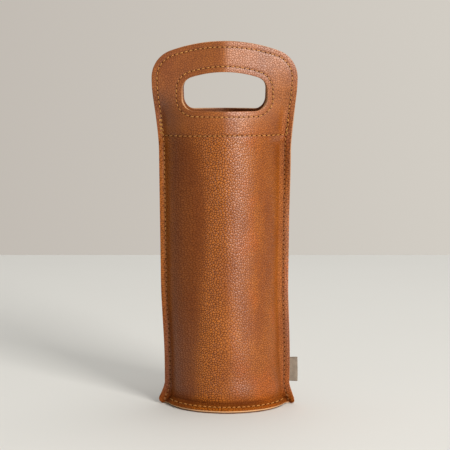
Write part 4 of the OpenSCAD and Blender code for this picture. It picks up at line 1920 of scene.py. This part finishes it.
    def sew(self) -> None:
        """Builds every line of thread."""
        mouth = self.form.outline.seam_height
        thread, slot = ["thread"], "thread"
        for panel in Side:
            name = panel.name.lower()
            run = StitchRun(self.edge_seed)
            for face in ("outer", "inner"):
                seam = self.seams[f"{name}_edge_{face}"]
                for first, last in self.holes_between(seam, mouth, math.inf):
                    run.sew(seam, first, last)
            self.keep(run.built(), f"{name}_edge_thread", thread, slot, f"{name}_edge_stitching")
            for part, node in (("hole", "hand_hole"), ("hem", "hem")):
                run = StitchRun(self.facing_seed)
                for face in ("outer", "inner"):
                    seam = self.seams[f"{name}_{part}_{face}"]
                    run.sew(seam, 0, seam.count)
                self.keep(run.built(), f"{name}_{node}_thread", thread, slot,
                          f"{name}_{node}_stitching")
        run = StitchRun(self.base_seed, self.base_radius)
        for name, seam in self.seams.items():
            if "base" in name:
                run.sew(seam, 0, seam.count)
        self.keep(run.built(), "base_seam_thread", thread, slot, "base_seam_stitching")
        self.sew_sides(mouth)

    def sew_sides(self, mouth: float) -> None:
        """Builds the side seams and the second pass over the mouth's corners."""
        for side in self.sides:
            run = StitchRun(self.side_seed + side.sign, side.radius)
            tack = StitchRun(self.tack_seed + side.sign, self.tack_radius)
            for panel in Side:
                seam = self.seams[f"{panel.name.lower()}_edge_outer"]
                for first, last in self.holes_between(seam, 0.0, mouth):
                    middle = seam.points[(first + last) * seam.FINE // 2]
                    if middle[0] * side.sign > 0:
                        run.sew(seam, first, last, height=side.lift)
                for row in side.tack_rows:
                    over = self.tack_seam(panel, side.sign, mouth - self.tack, mouth, row)
                    tack.sew(over, 0, over.count, height=self.tack_lift)
                over = self.tack_seam(panel, side.sign, *self.foot_tack)
                run.sew(over, 0, over.count, height=self.foot_tack_lift)
            self.keep(run.built(), f"{side.name}_seam_thread", [side.name], "thread",
                      f"{side.name}_seam_stitching")
            self.keep(tack.built(), f"{side.name}_mouth_tack_thread", ["thread"], "thread",
                      f"{side.name}_mouth_tack")

    def tack_seam(self, panel: Side, sign: int, low: float, high: float, row: float) -> Seam:
        """Returns one more pass of stitches, outside a side seam by row, between two heights."""
        line, form = self.form.outline, self.form
        z = np.linspace(low, high, 60)
        inset = line.inset_at(z, form.inset) - row
        x = (line.edge_x(z) - inset) * sign * panel.value
        path = np.stack([x, z], axis=1)
        return Seam(path, panel, form.panel / 2, pitch=self.tack_pitch).lay(form)

    def add_label(self) -> None:
        """Builds the side label."""
        label = SideLabel(self.form)
        piece = self.keep(label.built(), "side_label_tape", ["tape"], "label_fabric",
                          "side_label")
        label.flat

    def build(self) -> None:
        """Builds the pieces in order."""
        self.make_finishes()
        self.lay_seams()
        self.cut_leather()
        self.sew()
        self.add_label()


def write_sizes() -> None:
    """Updates the view layer."""
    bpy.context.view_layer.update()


def main() -> None:
    """Builds the studio and the carrier."""
    logging.basicConfig(level=logging.INFO, format="%(name)s: %(message)s")
    Studio().set_up()
    Carrier().build()
    write_sizes()


if __name__ == "__main__":
    main()
